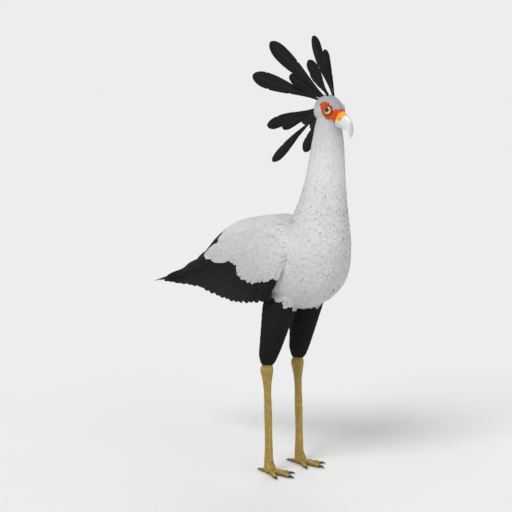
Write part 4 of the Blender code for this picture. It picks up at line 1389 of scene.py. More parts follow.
def build_wing(word, colours, material, rng):
    """The closed wing's flight feathers and large coverts, in tiers."""
    for name, tier in WING_TIERS.items():
        covert = name.endswith("coverts")
        lines, width, ahead = wing_tier(tier, SIDES[word], 0.05 if covert else 0.0, rng)
        count, stations = lines[0].shape[:2]
        shape = quill_outline(QUILL_STEPS, 0.36 if covert else 0.12, 0.40)[None] * width[:, None]
        front = shape * ahead * frayed(count, stations, rng, 0.5, 0.20)
        rear = shape * (1 - ahead) * frayed(count, stations, rng, 0.8, 0.25)
        shaft = 0.0009 * (1 - 0.75 * QUILL_STEPS)
        tone = tier_colours(name, lines[0], colours, rng)
        whole = f"{name}_{word}"
        vanes = (rear, front)
        large_feathers(whole, material, lines, vanes, shaft, 0.06, QUILL_STEPS, tone)


# The small coverts' rows run from the first of these places along x to the second.
COVERT_ROWS = (0.118, -0.235)


def wing_covert_roots(density, rng):
    """Places of the wing's small coverts in rows over its arm, from the front edge back."""
    rows = curve_through(WING_ARM)(np.linspace(0, 1, 400))
    places = []
    apart = 0.0060 / density
    x, last = COVERT_ROWS
    row = 0
    while x > last:
        top, bottom = (np.interp(-x, -rows[:, 0], rows[:, k]) for k in (1, 2))
        z = np.arange(bottom - 0.004, top + 0.004, apart) + (row % 2) * apart / 2
        jitter = rng.uniform(-0.3, 0.3, (2, len(z))) * apart
        places.append(np.stack([x + jitter[0], z + jitter[1]], -1))
        x -= apart * 0.9
        row += 1
    places = np.concatenate(places)
    arm_low = np.interp(-places[:, 0], -rows[:, 0], rows[:, 2])
    return places[places[:, 1] > arm_low + 0.020 - 0.05 * np.clip(-places[:, 0], 0, 0.3)]


def build_small_coverts(word, density, colours, material, rng):
    """The small feathers over the wing's arm, which lie back and a little down."""
    side = SIDES[word]
    roots = wing_covert_roots(density, rng)
    count = len(roots)
    back = np.clip((COVERT_ROWS[0] - roots[:, 0]) / 0.30, 0, 1)
    length = (0.020 + 0.020 * back) * rng.uniform(0.85, 1.15, count)
    slope = np.radians(np.interp(roots[:, 1], (0.66, 0.76), (-38, -14)) + rng.normal(0, 5, count))
    steps = BLADE_STEPS[None]
    x = roots[:, :1] - length[:, None] * steps * np.cos(slope)[:, None]
    z = roots[:, 1:] + length[:, None] * steps * np.sin(slope)[:, None]
    pale = over_border(x[:, 3], z[:, 3])
    roots, length, x, z = (values[pale] for values in (roots, length, x, z))
    count = len(roots)
    proud = -0.0035 + 0.0052 * np.sin(steps * math.pi / 2) * rng.uniform(0.85, 1.0, (count, 1))
    path, out = wing_place(x, z, proud, side)
    across = np.cross(out, unit(np.gradient(path, axis=1)))
    width = length * 0.24 * rng.uniform(0.85, 1.15, count)
    thick = np.full((count, len(BLADE_STEPS)), 0.0005)
    place, _ = wing_place(roots[:, 0], roots[:, 1], np.zeros(count), side)
    spots = chart("wing_" + word, place)
    tone = wing_tone(x[:, 3], z[:, 3], colours, rng)
    name = "small_coverts_" + word
    lines = (path, across, out)
    return small_feathers(name, material, lines, width, thick, spots, tone)


# Tail

# Root and tip of the longest feather in (x, z), how much shorter each pair is, and their width.
TAIL_ROOT = (-0.285, 0.650)
TAIL_TIP = (-0.562, 0.554)
TAIL_SHORTENING = (0.0, 0.045, 0.070, 0.090, 0.110, 0.130)
TAIL_WIDTH = 0.036


def build_tail(colours, material, rng):
    """Twelve tail feathers in pairs, the middle pair highest and longest."""
    root = np.array((TAIL_ROOT[0], 0.0, TAIL_ROOT[1]))
    tip = np.array((TAIL_TIP[0], 0.0, TAIL_TIP[1]))
    pairs = len(TAIL_SHORTENING)
    pair = np.repeat(np.arange(pairs), 2)
    side = np.tile((-1.0, 1.0), pairs)
    count = len(pair)
    reach = np.linalg.norm(tip - root) - np.array(TAIL_SHORTENING)[pair] * rng.uniform(0.97, 1.03, count)
    yaw = np.radians(0.55 * (pair + 0.35)) * side
    way = unit(tip - root)
    heading = np.stack([way[0] * np.cos(yaw), -way[0] * np.sin(yaw), np.full(count, way[2])], -1)
    up = unit(np.cross((0, 1, 0), heading))
    up = up * np.sign(up[:, 2:3])
    level = 0.0015 * (2 * pair + (side > 0))
    start = root + np.stack([0 * side, side * 0.011, 0 * side], -1) - up * level[:, None]
    steps = QUILL_STEPS[None, :, None]
    middle = start[:, None] + heading[:, None] * reach[:, None, None] * steps
    middle = middle + up[:, None] * 0.010 * (steps - steps**2)
    stations = len(QUILL_STEPS)
    across = np.broadcast_to(np.array((0.0, 1.0, 0.0)), middle.shape)
    out = np.broadcast_to(up[:, None], middle.shape)
    shape = quill_outline(QUILL_STEPS, 0.10, 0.45)[None] * TAIL_WIDTH * rng.uniform(0.96, 1.04, (count, 1))
    inner = np.where(pair == 0, 0.5, 0.60)[:, None]
    leftward = (side > 0)[:, None]
    left = shape * np.where(leftward, inner, 1 - inner) * frayed(count, stations, rng, 1.0, 0.25)
    right = shape * np.where(leftward, 1 - inner, inner) * frayed(count, stations, rng, 1.0, 0.25)
    shaft = 0.0010 * (1 - 0.7 * QUILL_STEPS)
    black = np.array(colours.black)
    grey = np.array(colours.body) * 0.55
    band = ease(0.30, 0.55, QUILL_STEPS)[None, :, None] * np.ones((count, 1, 1))
    tone = grey + (black - grey) * band
    lines = (middle, across, out)
    vanes = (left, right)
    large_feathers("tail_feathers", material, lines, vanes, shaft, 0.05, QUILL_STEPS, tone)


# Crest

# Crest feathers of each side: angle above the line straight back in degrees, length, and the
# angle they stand out from the middle.
CREST_RIGHT = (
    (60, 0.125, 8),
    (43, 0.250, 12),
    (32, 0.130, 12),
    (17, 0.268, 9),
    (-15, 0.190, 9),
    (-24, 0.115, 18),
    (-41, 0.202, 11),
)
CREST_LEFT = (
    (64, 0.155, 9),
    (52, 0.236, 13),
    (32, 0.165, 16),
    (14, 0.235, 16),
    (-15, 0.160, 16),
    (-26, 0.120, 20),
    (-40, 0.170, 14),
)
# The turn of the flat sides in degrees, on the right and on the left.
CREST_TWIST = {-1: 18, 1: -4}
# How far the roots are sunk in the head, and how far the tips sag as a share of the length.
CREST_SUNK = 0.018
CREST_CURVE = 0.035
# The half width along a feather, the part that its round tip takes, the width of the longest one
# and the share of it that doesn't shrink with the length.
CREST_OUTLINE = (
    (0.0, 0.13),
    (0.14, 0.17),
    (0.36, 0.46),
    (0.55, 0.80),
    (0.70, 0.98),
    (0.80, 1.0),
    (1.0, 0.94),
)
CREST_TIP = 0.20
CREST_WIDTH = 0.050
CREST_WIDTH_KEPT = 0.45
CREST_LONGEST = 0.268
# Where a crest feather is rooted on the head, by its angle: angle, x, z, distance from the middle.
CREST_ROOTS = (
    (-41, -0.034, -0.030, 0.012),
    (-17, -0.036, -0.010, 0.015),
    (2, -0.032, 0.008, 0.016),
    (19, -0.025, 0.020, 0.015),
    (42, -0.015, 0.028, 0.012),
    (62, -0.003, 0.032, 0.009),
)


def crest_lines(rows, side):
    """Middle lines, flat sides and outward ways of one side's crest feathers."""
    angle, length, spread = np.array(rows, float).T
    roots = curve_through(CREST_ROOTS, by_length=False)(angle)
    root = from_head(np.stack([roots[:, 1], side * roots[:, 3], roots[:, 2]], -1))
    lift = np.radians(angle)
    spread = np.radians(spread)
    level = np.cos(spread)
    way = np.stack([-np.cos(lift) * level, side * np.sin(spread), np.sin(lift) * level], -1)
    over = unit(np.cross((0, 1, 0), way))
    twist = math.radians(CREST_TWIST[side])
    flat = over * math.cos(twist) + np.cross(way, over) * math.sin(twist)
    way, over, flat = (turned_z(vectors, TURN) for vectors in (way, over, flat))
    bend = CREST_CURVE * length[:, None] * np.sin(CREST_STEPS * math.pi / 2)[None] ** 2
    reach = (length + CREST_SUNK)[:, None] * CREST_STEPS[None]
    middle = root[:, None] + way[:, None] * reach[..., None] - over[:, None] * bend[..., None]
    across = np.broadcast_to(flat[:, None], middle.shape)
    out = unit(np.cross(across, np.gradient(middle, axis=1)))
    width = CREST_WIDTH * (CREST_WIDTH_KEPT + (1 - CREST_WIDTH_KEPT) * length / CREST_LONGEST)
    return middle, across, out, width


def build_crest(colours, material, rng):
    """The raised crest, feather by feather: each a dark spoon on a slender shaft."""
    parts = [crest_lines(rows, side) for side, rows in ((-1, CREST_RIGHT), (1, CREST_LEFT))]
    *lines, width = (np.concatenate(values) for values in zip(*parts))
    steps = CREST_STEPS
    count, stations = lines[0].shape[:2]
    outline = curve_through(CREST_OUTLINE, by_length=False)(steps)[:, 1]
    near_tip = np.clip((steps - 1 + CREST_TIP) / CREST_TIP, 0, 1)
    outline = outline * np.sqrt(np.clip(1 - near_tip**2.2, 0.0, 1)) + 0.01
    shape = outline[None] * width[:, None] / 2
    vanes = [shape * frayed(count, stations, rng, 1.2, 0.16) for _ in range(2)]
    shaft = 0.0011 * (1 - 0.7 * steps)
    wave = 0.0012 * np.sin(steps[None] * 9 + rng.uniform(0, 6, (count, 1)))[..., None]
    tone = np.array(colours.black) * rng.uniform(0.8, 1.2, (count, 1))
    tone = np.repeat(tone, stations, axis=0)
    name = "crest_feathers"
    large_feathers(name, material, lines, vanes, shaft, 0.10, steps, tone, wave)


# Bill, eyes, lashes, scales and claws


def build_bill(material):
    """The hooked upper bill with its ridge and cutting edge, and the lower bill inside it."""
    turn = full_turn(64)
    for name, rows, first in (("bill_upper", UPPER_BILL, 0.165), ("bill_lower", LOWER_BILL, 0.0)):
        share = np.linspace(first, 1, 90)
        stations = curve_through(rows)(share)
        points = section(stations[:, None], turn[None])
        if name == "bill_upper":
            points[..., 1] *= 1 - 0.16 * np.clip(np.sin(turn), 0, 1)[None] ** 3
            overhang = ridge(np.sin(turn) + 0.15, 0.0010, 0.22)
            points[..., 2] -= overhang * np.sin(math.pi * share)[:, None]
        mesh = closed_mesh(name, *closed_grid(from_head(points)))
        item = piece(name + "_horn", mesh, material, smooth_under=60)
        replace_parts(item, name)


def build_eye(word, material):
    """A glossy eyeball, flattened in front, whose iris lies round the way the eye looks."""
    side = SIDES[word]
    lid = lid_way(side)
    look = unit(lid + np.array((-0.20, 0.0, 0.12)))
    away = np.radians(np.concatenate([np.linspace(0, 60, 50), np.linspace(64, 180, 24)]))
    around = full_turn(72)
    ahead = unit(np.cross((0, 0, 1), look))
    high = np.cross(look, ahead)
    radius = EYE_RADIUS * (0.985 + ridge(away, 0.045, 0.45))
    ring = np.cos(around)[:, None] * ahead + np.sin(around)[:, None] * high
    way = np.cos(away)[:, None, None] * look + np.sin(away)[:, None, None] * ring[None]
    ball = way * radius[:, None, None]
    proud = np.maximum(dot(ball, lid) - EYE_RADIUS * math.cos(math.radians(EYE_FLAT_FROM)), 0)
    ball = ball - lid * (proud * EYE_FLATNESS)[..., None]
    mesh = closed_mesh("eye", *closed_grid(from_head(eye_centre(side) + ball)))
    grid = own_places(around / (2 * math.pi), away / math.pi, 1)
    places = np.concatenate([grid, [(0.5, 0.0)], [(0.5, 1.0)]])
    maps = {"Iris": corner_values(mesh, places)}
    made = piece("eyeball_" + word, mesh, material, maps, smooth_under=80)
    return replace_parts(made, "eye_" + word)


# Lashes of each eye: how many, how thick at the root, and the length of a middling one.
LASHES = 26
LASH_THICKNESS = 0.00032
LASH_LENGTH = 0.0065


def tapered_hairs(path, across, out, thick):
    """Closed four-sided tapered hairs along paths."""
    half = np.broadcast_to(thick * (1 - 0.85 * np.linspace(0, 1, path.shape[1])), path.shape[:2])
    return blades(path, across, out, half, half)


def build_lashes(word, colours, material, rng):
    """The long dark lashes along the brow over an eye."""
    side = SIDES[word]
    share = np.linspace(0, 1, LASHES)
    turn = np.radians(np.interp(share, (0, 1), (150, 22)) + rng.normal(0, 2.0, LASHES))
    lid = lid_way(side)
    ahead, high = eye_axes(side)
    rim = np.cos(turn)[:, None] * ahead + np.sin(turn)[:, None] * high
    rim_angle = LID_OPEN + 5 + LID_OVAL * np.cos(2 * turn) - LID_UNDER_BROW * under_brow(turn)
    opening = np.radians(rim_angle)[:, None]
    start = eye_centre(side) + EYE_RADIUS * 1.06 * (np.cos(opening) * lid + np.sin(opening) * rim)
    length = LASH_LENGTH * (0.6 + 0.5 * np.sin(math.pi * share)) * rng.uniform(0.85, 1.1, LASHES)
    steps = np.linspace(0, 1, 7)[None, :, None]
    way = unit(lid * 0.75 + rim * 0.55 + np.array((0.22, 0, 0)))
    path = start[:, None] + way[:, None] * length[:, None, None] * steps
    path = path + high * (length[:, None, None] * 0.28 * steps**2)
    across = unit(np.cross(way, rim))[:, None] + 0 * path
    out = unit(np.cross(across, way[:, None]))
    path = from_head(path)
    points, faces = tapered_hairs(path, turned_z(across, TURN), turned_z(out, TURN), LASH_THICKNESS)
    mesh = mesh_from("lashes", points, faces)
    maps = {"OFBake": corner_values(mesh, chart("head", points))}
    tone = np.broadcast_to(np.array(colours.black), (len(points), 3))
    return piece("lashes_" + word, mesh, material, maps, tone)


def plate_grid(middle_high, middle_turn, half_high, half_turn, rise, place, across=7):
    """Top and under points of domed plates on a tube: place(height, turn, out) gives its points."""
    rows = np.linspace(-1, 1, across - 1)
    columns = np.linspace(-1, 1, across)
    b, a = np.meshgrid(rows, columns, indexing="ij")
    round_corner = 1 - 0.10 * np.abs(b) ** 4
    high = middle_high[:, None, None] + half_high[:, None, None] * b
    turn = middle_turn[:, None, None] + half_turn[:, None, None] * a * round_corner
    dome = (1 - np.abs(a) ** 4) * (1 - np.abs(b) ** 4)
    lap = 0.5 - 0.5 * b
    out = rise * (dome * (0.45 + 0.55 * lap)) - 0.00024
    return place(high, turn, out + 0 * high), place(high, turn, np.full(high.shape, -0.0009))


def plates_between(edges, lap):
    """Middles and half heights of plates that overlap a little, from their edges from top to bottom."""
    return (edges[:-1] + edges[1:]) / 2, (edges[:-1] - edges[1:]) / 2 * lap


SHANK_FINE = SHANK_READ(np.linspace(1, 0, 400))
SHANK_Z = SHANK_FINE[:, 1]
# The front plates: their top and bottom heights, how many, and the half turn that each covers.
FRONT_PLATES = (0.300, 0.044)
FRONT_PLATE_COUNT = 26
FRONT_PLATE_TURN = math.radians(74)
# The small scales: their height, where their rows start and end, how many in a row beside the
# front plates and in one all round, and where the rows beside the plates start.
SMALL_SCALE = 0.0052
SCALE_ROWS = (0.011, 0.372)
SCALES_BESIDE = 11
SCALES_ROUND = 17
BESIDE_FROM = math.radians(64)
SCALE_RISE = 0.0011
# The half turn that a toe's cross plate covers.
TOE_PLATE_TURN = math.radians(66)


def build_leg_plates(word, material, rng):
    """The wide plates down the front of the shank and the small scales at its sides and back."""
    side = SIDES[word]

    def place(high, turn, out):
        rows = np.stack([np.interp(high, SHANK_Z, SHANK_FINE[:, k]) for k in range(4)], -1)
        rows[..., 1] = high
        return leg_ring(rows, turn * side, side, out - SCALE_ROOM)

    middle, half = plates_between(np.linspace(*FRONT_PLATES, FRONT_PLATE_COUNT + 1), 1.12)
    turns = np.radians(rng.normal(0, 2, len(middle)))
    wide = np.full(len(middle), FRONT_PLATE_TURN)
    front_plates = plate_grid(middle, turns, half, wide, SCALE_RISE, place)
    rows = []
    for k, z in enumerate(np.arange(*SCALE_ROWS, SMALL_SCALE)):
        beside = FRONT_PLATES[1] < z < FRONT_PLATES[0]
        front = BESIDE_FROM if beside else 0.0
        number = SCALES_BESIDE if beside else SCALES_ROUND
        step = (2 * math.pi - 2 * front) / number
        number += beside * (k % 2)
        turn = front + step * (np.arange(number) + 0.5 * ((k + beside) % 2))
        wide = step * 0.52 * rng.uniform(0.94, 1.04, number)
        rows.append(np.stack([z + rng.normal(0, 0.00022, number), turn, wide], -1))
    high, turn, wide = np.concatenate(rows).T
    tall = np.full(len(high), SMALL_SCALE * 0.525)
    small = plate_grid(high, turn, tall, wide, SCALE_RISE, place, 5)
    for name, plates in (("shank_plates_", front_plates), ("shank_scales_", small)):
        points, faces = shells_of(*plates)
        mesh = mesh_from("plates", points, faces)
        each = len(points) // len(plates[0])
        spots = np.repeat(chart("shank_" + word, points.reshape(-1, each, 3).mean(axis=1)), each, axis=0)
        maps = {"OFBake": corner_values(mesh, spots)}
        piece(name + word, mesh, material, maps, smooth_under=60)


def build_toe_plates(word, material):
    """The cross plates along the top of each toe."""
    side = SIDES[word]
    grids = []
    for turn, length, size in TOES.values():
        ahead, across = toe_ways(side, turn)

        def place(along, around, out):
            half = np.interp(along / length, TOE_STEPS, TOE_HEIGHTS) * size
            centre = np.array((TOES_AHEAD, side * STANCE, 0)) + along[..., None] * ahead
            reach = (half - SCALE_ROOM + out)[..., None]
            lift = (half - SOLE_CUT)[..., None] * (0, 0, 1)
            way = np.sin(around)[..., None] * across + np.cos(around)[..., None] * (0, 0, 1)
            return centre + lift + reach * way

        start = 0.018 if turn < 90 else 0.016
        edges = np.linspace(length * 0.985, start, int(length / SMALL_SCALE))
        middle, half = plates_between(edges, 1.10)
        wide = np.full(len(middle), TOE_PLATE_TURN)
        grids.append(plate_grid(middle, 0 * middle, -half, wide, 0.0010 * size, place))
    points, faces = shells_of(*(np.concatenate(points) for points in zip(*grids)))
    points[:, 2] = np.maximum(points[:, 2], 0.0002)
    mesh = mesh_from("plates", points, faces)
    maps = {"OFBake": corner_values(mesh, chart("foot_" + word, points))}
    return piece("toe_plates_" + word, mesh, material, maps, smooth_under=60)


def build_claws(word, material):
    """Short curved claws, one from the end of each toe."""
    side = SIDES[word]
    for name, (turn, length, size) in TOES.items():
        ahead, across = toe_ways(side, turn)
        step = np.linspace(-0.10, 1, 40)
        keys = (-0.10, 0.0, 0.35, 0.7, 1.0)
        thick = np.interp(step, keys, (0.0046, 0.0048, 0.0043, 0.0027, 0.0006)) * size
        rise = np.interp(step, keys, (0.0004, 0.0006, 0.0018, 0.0008, -0.0016)) * size
        end = TOE_HEIGHTS[-1] * size - SOLE_CUT
        along = np.outer(length + CLAW_LENGTH * size * step, ahead)
        centre = np.array((TOES_AHEAD, side * STANCE, end)) + along
        centre[:, 2] += rise
        lean = np.radians(-30 * step)
        up = np.outer(np.cos(lean), (0, 0, 1)) - np.outer(np.sin(lean), ahead)
        around = full_turn(28)
        narrow = 0.80 - 0.12 * np.clip(-np.sin(around), 0, 1)
        wide = (np.cos(around) * narrow)[None, :, None] * across * thick[:, None, None]
        tall = np.sin(around)[None, :, None] * up[:, None] * thick[:, None, None]
        points, faces = closed_grid(centre[:, None] + wide + tall)
        points[:, 2] = np.maximum(points[:, 2], 0.0001)
        mesh = closed_mesh("claw", points, faces)
        node = f"claw_{name}_{word}"
        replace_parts(piece(node + "_horn", mesh, material, smooth_under=70), node)


# Materials

# Made by the first operator and used by the others.
GROUPS = {}
MATERIALS = {}


class Nodes:
    """Short calls that add and link the nodes of one tree.

    Values are sockets or numbers. add and group give back their node, and the others sockets.
    """

    def __init__(self, tree):
        self.tree = tree

    def add(self, kind, **settings):
        node = self.tree.nodes.new("ShaderNode" + kind)
        for name, value in settings.items():
            setattr(node, name, value)
        return node

    def feed(self, socket, value):
        if isinstance(value, bpy.types.NodeSocket):
            self.tree.links.new(value, socket)
        else:
            socket.default_value = value

    def calc(self, operation, *values, clamp=False):
        node = self.add("Math", operation=operation, use_clamp=clamp)
        for socket, value in zip(node.inputs, values):
            self.feed(socket, value)
        return node.outputs[0]

    def times(self, one, two):
        return self.calc("MULTIPLY", one, two)

    def plus(self, one, two):
        return self.calc("ADD", one, two)

    def less(self, one, two):
        return self.calc("SUBTRACT", one, two)

    def place(self):
        """The place on the piece, in metres."""
        return self.add("TexCoord").outputs["Object"]

    def split(self, vector):
        """The three numbers of a vector."""
        node = self.add("SeparateXYZ")
        self.feed(node.inputs[0], vector)
        return node.outputs

    def tinted(self, colour, tint):
        """A colour with all its parts multiplied by one number."""
        grey = self.add("CombineColor")
        for socket in grey.inputs:
            self.feed(socket, tint)
        return self.mix(1.0, colour, grey.outputs[0], "MULTIPLY")

    def mix(self, share, one, two, blend="MIX"):
        node = self.add("Mix", data_type="RGBA", blend_type=blend)
        for label, value in (("Factor", share), ("A", one), ("B", two)):
            socket = [s for s in node.inputs if s.name == label and s.enabled][0]
            self.feed(socket, (*value, 1) if isinstance(value, tuple) and len(value) == 3 else value)
        return [s for s in node.outputs if s.enabled][0]

    def step(self, value, low, high, start=0.0, end=1.0):
        """A smooth step of value from low to high."""
        node = self.add("MapRange", interpolation_type="SMOOTHSTEP")
        for socket, number in zip(node.inputs, (value, low, high, start, end)):
            self.feed(socket, number)
        return node.outputs[0]

    def noise(self, vector, scale, detail=3.0, roughness=0.55):
        node = self.add("TexNoise")
        self.feed(node.inputs["Vector"], vector)
        self.feed(node.inputs["Scale"], scale)
        node.inputs["Detail"].default_value = detail
        node.inputs["Roughness"].default_value = roughness
        return node.outputs["Fac"]

    def group(self, tree, **values):
        """A node for a group. Its sockets' names are given with underscores for spaces."""
        node = self.add("Group")
        node.node_tree = tree
        for label, value in values.items():
            self.feed(node.inputs[label.replace("_", " ")], value)
        return node


def new_group(name, inputs, outputs):
    """An empty node group with named sockets, and its start and end nodes."""
    tree = bpy.data.node_groups.new(name, "ShaderNodeTree")
    for label, kind, default in inputs:
        socket = tree.interface.new_socket(label, in_out="INPUT", socket_type="NodeSocket" + kind)
        socket.default_value = default
    for label, kind in outputs:
        tree.interface.new_socket(label, in_out="OUTPUT", socket_type="NodeSocket" + kind)
    nodes = Nodes(tree)
    start = tree.nodes.new("NodeGroupInput")
    end = tree.nodes.new("NodeGroupOutput")
    return tree, nodes, start.outputs, end.inputs


# How bright the shaft of a pale feather is beside its vane.
PALE_SHAFT = 0.90


def barb_group():
    """Barbs and shaft of a feather, read from its own map; edge and shaft stand out on dark ones."""
    tree, n, given, wanted = new_group(
        "Barbs",
        (
            ("Colour", "Color", (0.5, 0.5, 0.5, 1)),
            ("Count", "Float", 60.0),
            ("Slant", "Float", 0.35),
            ("Shaft Width", "Float", 0.05),
            ("Shaft Tint", "Float", 1.5),
            ("Edge Tint", "Float", 1.1),
            ("Barb Tint", "Float", 0.12),
        ),
        (("Colour", "Color"), ("Height", "Float"), ("Shaft", "Float")),
    )
    own = n.add("UVMap", uv_map="Vane").outputs[0]
    across, along, _ = n.split(own)
    away = n.times(n.calc("ABSOLUTE", n.less(across, 0.5)), 2.0)
    slanted = n.less(along, n.times(away, given["Slant"]))
    wander = n.noise(own, 7.0, 2.0)
    phase = n.plus(n.times(slanted, given["Count"]), n.times(wander, 1.6))
    wave = n.calc("SINE", n.times(phase, 2 * math.pi))
    shaft = n.less(1.0, n.step(away, n.times(given["Shaft Width"], 0.4), given["Shaft Width"]))
    edge = n.step(away, 0.80, 1.0)
    bright = n.add("RGBToBW")
    n.feed(bright.inputs[0], given["Colour"])
    dark = n.less(1.0, n.step(bright.outputs[0], 0.02, 0.25))
    edge_gain = n.times(n.times(edge, dark), n.less(given["Edge Tint"], 1.0))
    shaft_goal = n.plus(n.times(dark, n.less(given["Shaft Tint"], PALE_SHAFT)), PALE_SHAFT - 1)
    tint = n.plus(1.0, n.times(wave, given["Barb Tint"]))
    tint = n.times(tint, n.plus(1.0, edge_gain))
    tint = n.times(tint, n.plus(1.0, n.times(shaft, shaft_goal)))
    n.feed(wanted["Colour"], n.tinted(given["Colour"], tint))
    n.feed(wanted["Height"], n.plus(n.times(wave, 0.35), n.times(shaft, 2.0)))
    n.feed(wanted["Shaft"], shaft)
    return tree


def mottle_group():
    """Soft patches of lighter and darker colour over a surface."""
    tree, n, given, wanted = new_group(
        "Mottle",
        (("Colour", "Color", (0.5, 0.5, 0.5, 1)), ("Scale", "Float", 20.0), ("Amount", "Float", 0.1)),
        (("Colour", "Color"), ("Patches", "Float")),
    )
    coarse = n.noise(n.place(), given["Scale"], 4.0, 0.5)
    patches = n.step(coarse, 0.30, 0.70, -1.0, 1.0)
    tint = n.plus(1.0, n.times(patches, given["Amount"]))
    n.feed(wanted["Colour"], n.tinted(given["Colour"], tint))
    n.feed(wanted["Patches"], patches)
    return tree


def pebble_group():
    """Small rounded scales of bare skin as a height and a mask of the grooves between them."""
    tree, n, given, wanted = new_group(
        "Pebbles",
        (("Scale", "Float", 600.0), ("Groove", "Float", 0.12)),
        (("Height", "Float"), ("Grooves", "Float")),
    )
    cells = n.add("TexVoronoi", feature="DISTANCE_TO_EDGE")
    n.feed(cells.inputs["Vector"], n.place())
    n.feed(cells.inputs["Scale"], given["Scale"])
    inside = n.step(cells.outputs["Distance"], 0.0, given["Groove"])
    n.feed(wanted["Height"], inside)
    n.feed(wanted["Grooves"], n.less(1.0, inside))
    return tree


def new_material(name, roughness, **settings):
    """A material with its node calls and its Principled shader."""
    made = bpy.data.materials.new(name)
    made.use_nodes = True
    shader = made.node_tree.nodes["Principled BSDF"]
    shader.inputs["Roughness"].default_value = roughness
    for label, value in settings.items():
        shader.inputs[label.replace("_", " ")].default_value = value
    return made, Nodes(made.node_tree), shader.inputs


def add_bump(n, inputs, height, strength, distance):
    bump = n.add("Bump")
    bump.inputs["Strength"].default_value = strength
    bump.inputs["Distance"].default_value = distance
    n.feed(bump.inputs["Height"], height)
    n.feed(inputs["Normal"], bump.outputs[0])


def plumage_material(name, roughness, gloss, **looks):
    """Feathers in the colours that their piece carries, with barbs, shaft and soft patches."""
    made, n, inputs = new_material(name, roughness, Specular_IOR_Level=gloss)
    tone = n.add("VertexColor", layer_name="tone")
    soft = n.group(GROUPS["mottle"], Colour=tone.outputs[0], Scale=9.0, Amount=0.05)
    barbs = n.group(GROUPS["barbs"], Colour=soft.outputs["Colour"], **looks)
    n.feed(inputs["Base Color"], barbs.outputs["Colour"])
    add_bump(n, inputs, barbs.outputs["Height"], 0.35, 0.0004)
    return made


def skin_material():
    """Bare skin in the colours that it carries: pebbled on the legs, finely lined on the face."""
    made, n, inputs = new_material("skin", 0.55, Subsurface_Weight=0.04, Specular_IOR_Level=0.22)
    inputs["Subsurface Radius"].default_value = (0.004, 0.0015, 0.001)
    tone = n.add("VertexColor", layer_name="tone")
    soft = n.group(GROUPS["mottle"], Colour=tone.outputs[0], Scale=130.0, Amount=0.12)
    pebbles = n.group(GROUPS["pebbles"], Scale=820.0, Groove=0.18)
    grooves = n.times(pebbles.outputs["Grooves"], tone.outputs[1])
    n.feed(inputs["Base Color"], n.mix(n.times(grooves, 0.28), soft.outputs["Colour"], (0.05, 0.03, 0.01)))
    n.feed(inputs["Roughness"], n.plus(0.45, n.times(grooves, 0.25)))
    add_bump(n, inputs, n.less(1.0, grooves), 0.4, 0.0003)
    return made


def leg_material(colours):
    """Dry horny scales of the legs and toes, in patches and with darker pits."""
    made, n, inputs = new_material("leg_scales_skin", 0.55)
    base = (*colours.legs, 1.0)
    soft = n.group(GROUPS["mottle"], Colour=base, Scale=70.0, Amount=0.20)
    fine = n.noise(n.place(), 900.0, 3.0)
    pits = n.step(fine, 0.45, 0.75)
    darker = n.times(pits, 0.25)
    n.feed(inputs["Base Color"], n.mix(darker, soft.outputs["Colour"], (0.12, 0.08, 0.025)))
    n.feed(inputs["Roughness"], n.step(soft.outputs["Patches"], -1.0, 1.0, 0.42, 0.62))
    add_bump(n, inputs, fine, 0.25, 0.0003)
    return made


def horn_material(name, base, tip, start, end, roughness):
    """Horn that darkens towards its tip along X, with fine growth lines."""
    made, n, inputs = new_material(name, roughness, Coat_Weight=0.25, Coat_Roughness=0.2)
    place = n.place()
    share = n.step(n.split(place)[0], start, end)
    colour = n.mix(share, base, tip)
    soft = n.group(GROUPS["mottle"], Colour=colour, Scale=90.0, Amount=0.035)
    n.feed(inputs["Base Color"], soft.outputs["Colour"])
    stretched = n.add("Mapping")
    n.feed(stretched.inputs["Vector"], place)
    stretched.inputs["Scale"].default_value = (3.0, 0.6, 0.8)
    lines = n.noise(stretched.outputs[0], 420.0, 3.0)
    add_bump(n, inputs, lines, 0.20, 0.0004)
    return made


def eye_material(colours):
    """A wet eye: black pupil, amber iris with fine rays, and a dark ring round it."""
    made, n, inputs = new_material("eye", 0.12, Coat_Weight=1.0, Coat_Roughness=0.02)
    around, down, _ = n.split(n.add("UVMap", uv_map="Iris").outputs[0])
    away = n.times(down, 180.0)
    turn = n.times(around, 2 * math.pi)
    ring = n.add("CombineXYZ")
    n.feed(ring.inputs[0], n.times(n.calc("COSINE", turn), 3.0))
    n.feed(ring.inputs[1], n.times(n.calc("SINE", turn), 3.0))
    n.feed(ring.inputs[2], n.times(away, 0.02))
    rays = n.noise(ring.outputs[0], 9.0, 4.0)
    iris = (*colours.iris, 1.0)
    warm = n.mix(n.step(rays, 0.35, 0.75), iris, tuple(0.68 * v for v in colours.iris))
    outer = n.mix(n.step(away, 54.0, 64.0), warm, (0.10, 0.03, 0.005))
    inner = n.mix(n.step(away, 30.0, 32.5), (0.003, 0.003, 0.003), outer)
    n.feed(inputs["Base Color"], inner)
    return made


# Settings, operators and panel


def colour_setting(name, hex_colour, words):
    return bpy.props.FloatVectorProperty(
        name=name, description=words, subtype="COLOR", size=3, min=0.0, max=1.0, default=linear(hex_colour)
    )


def number_setting(name, words, low, high, usual, unit="NONE"):
    return bpy.props.FloatProperty(
        name=name, description=words, unit=unit, min=low, max=high, default=usual
    )


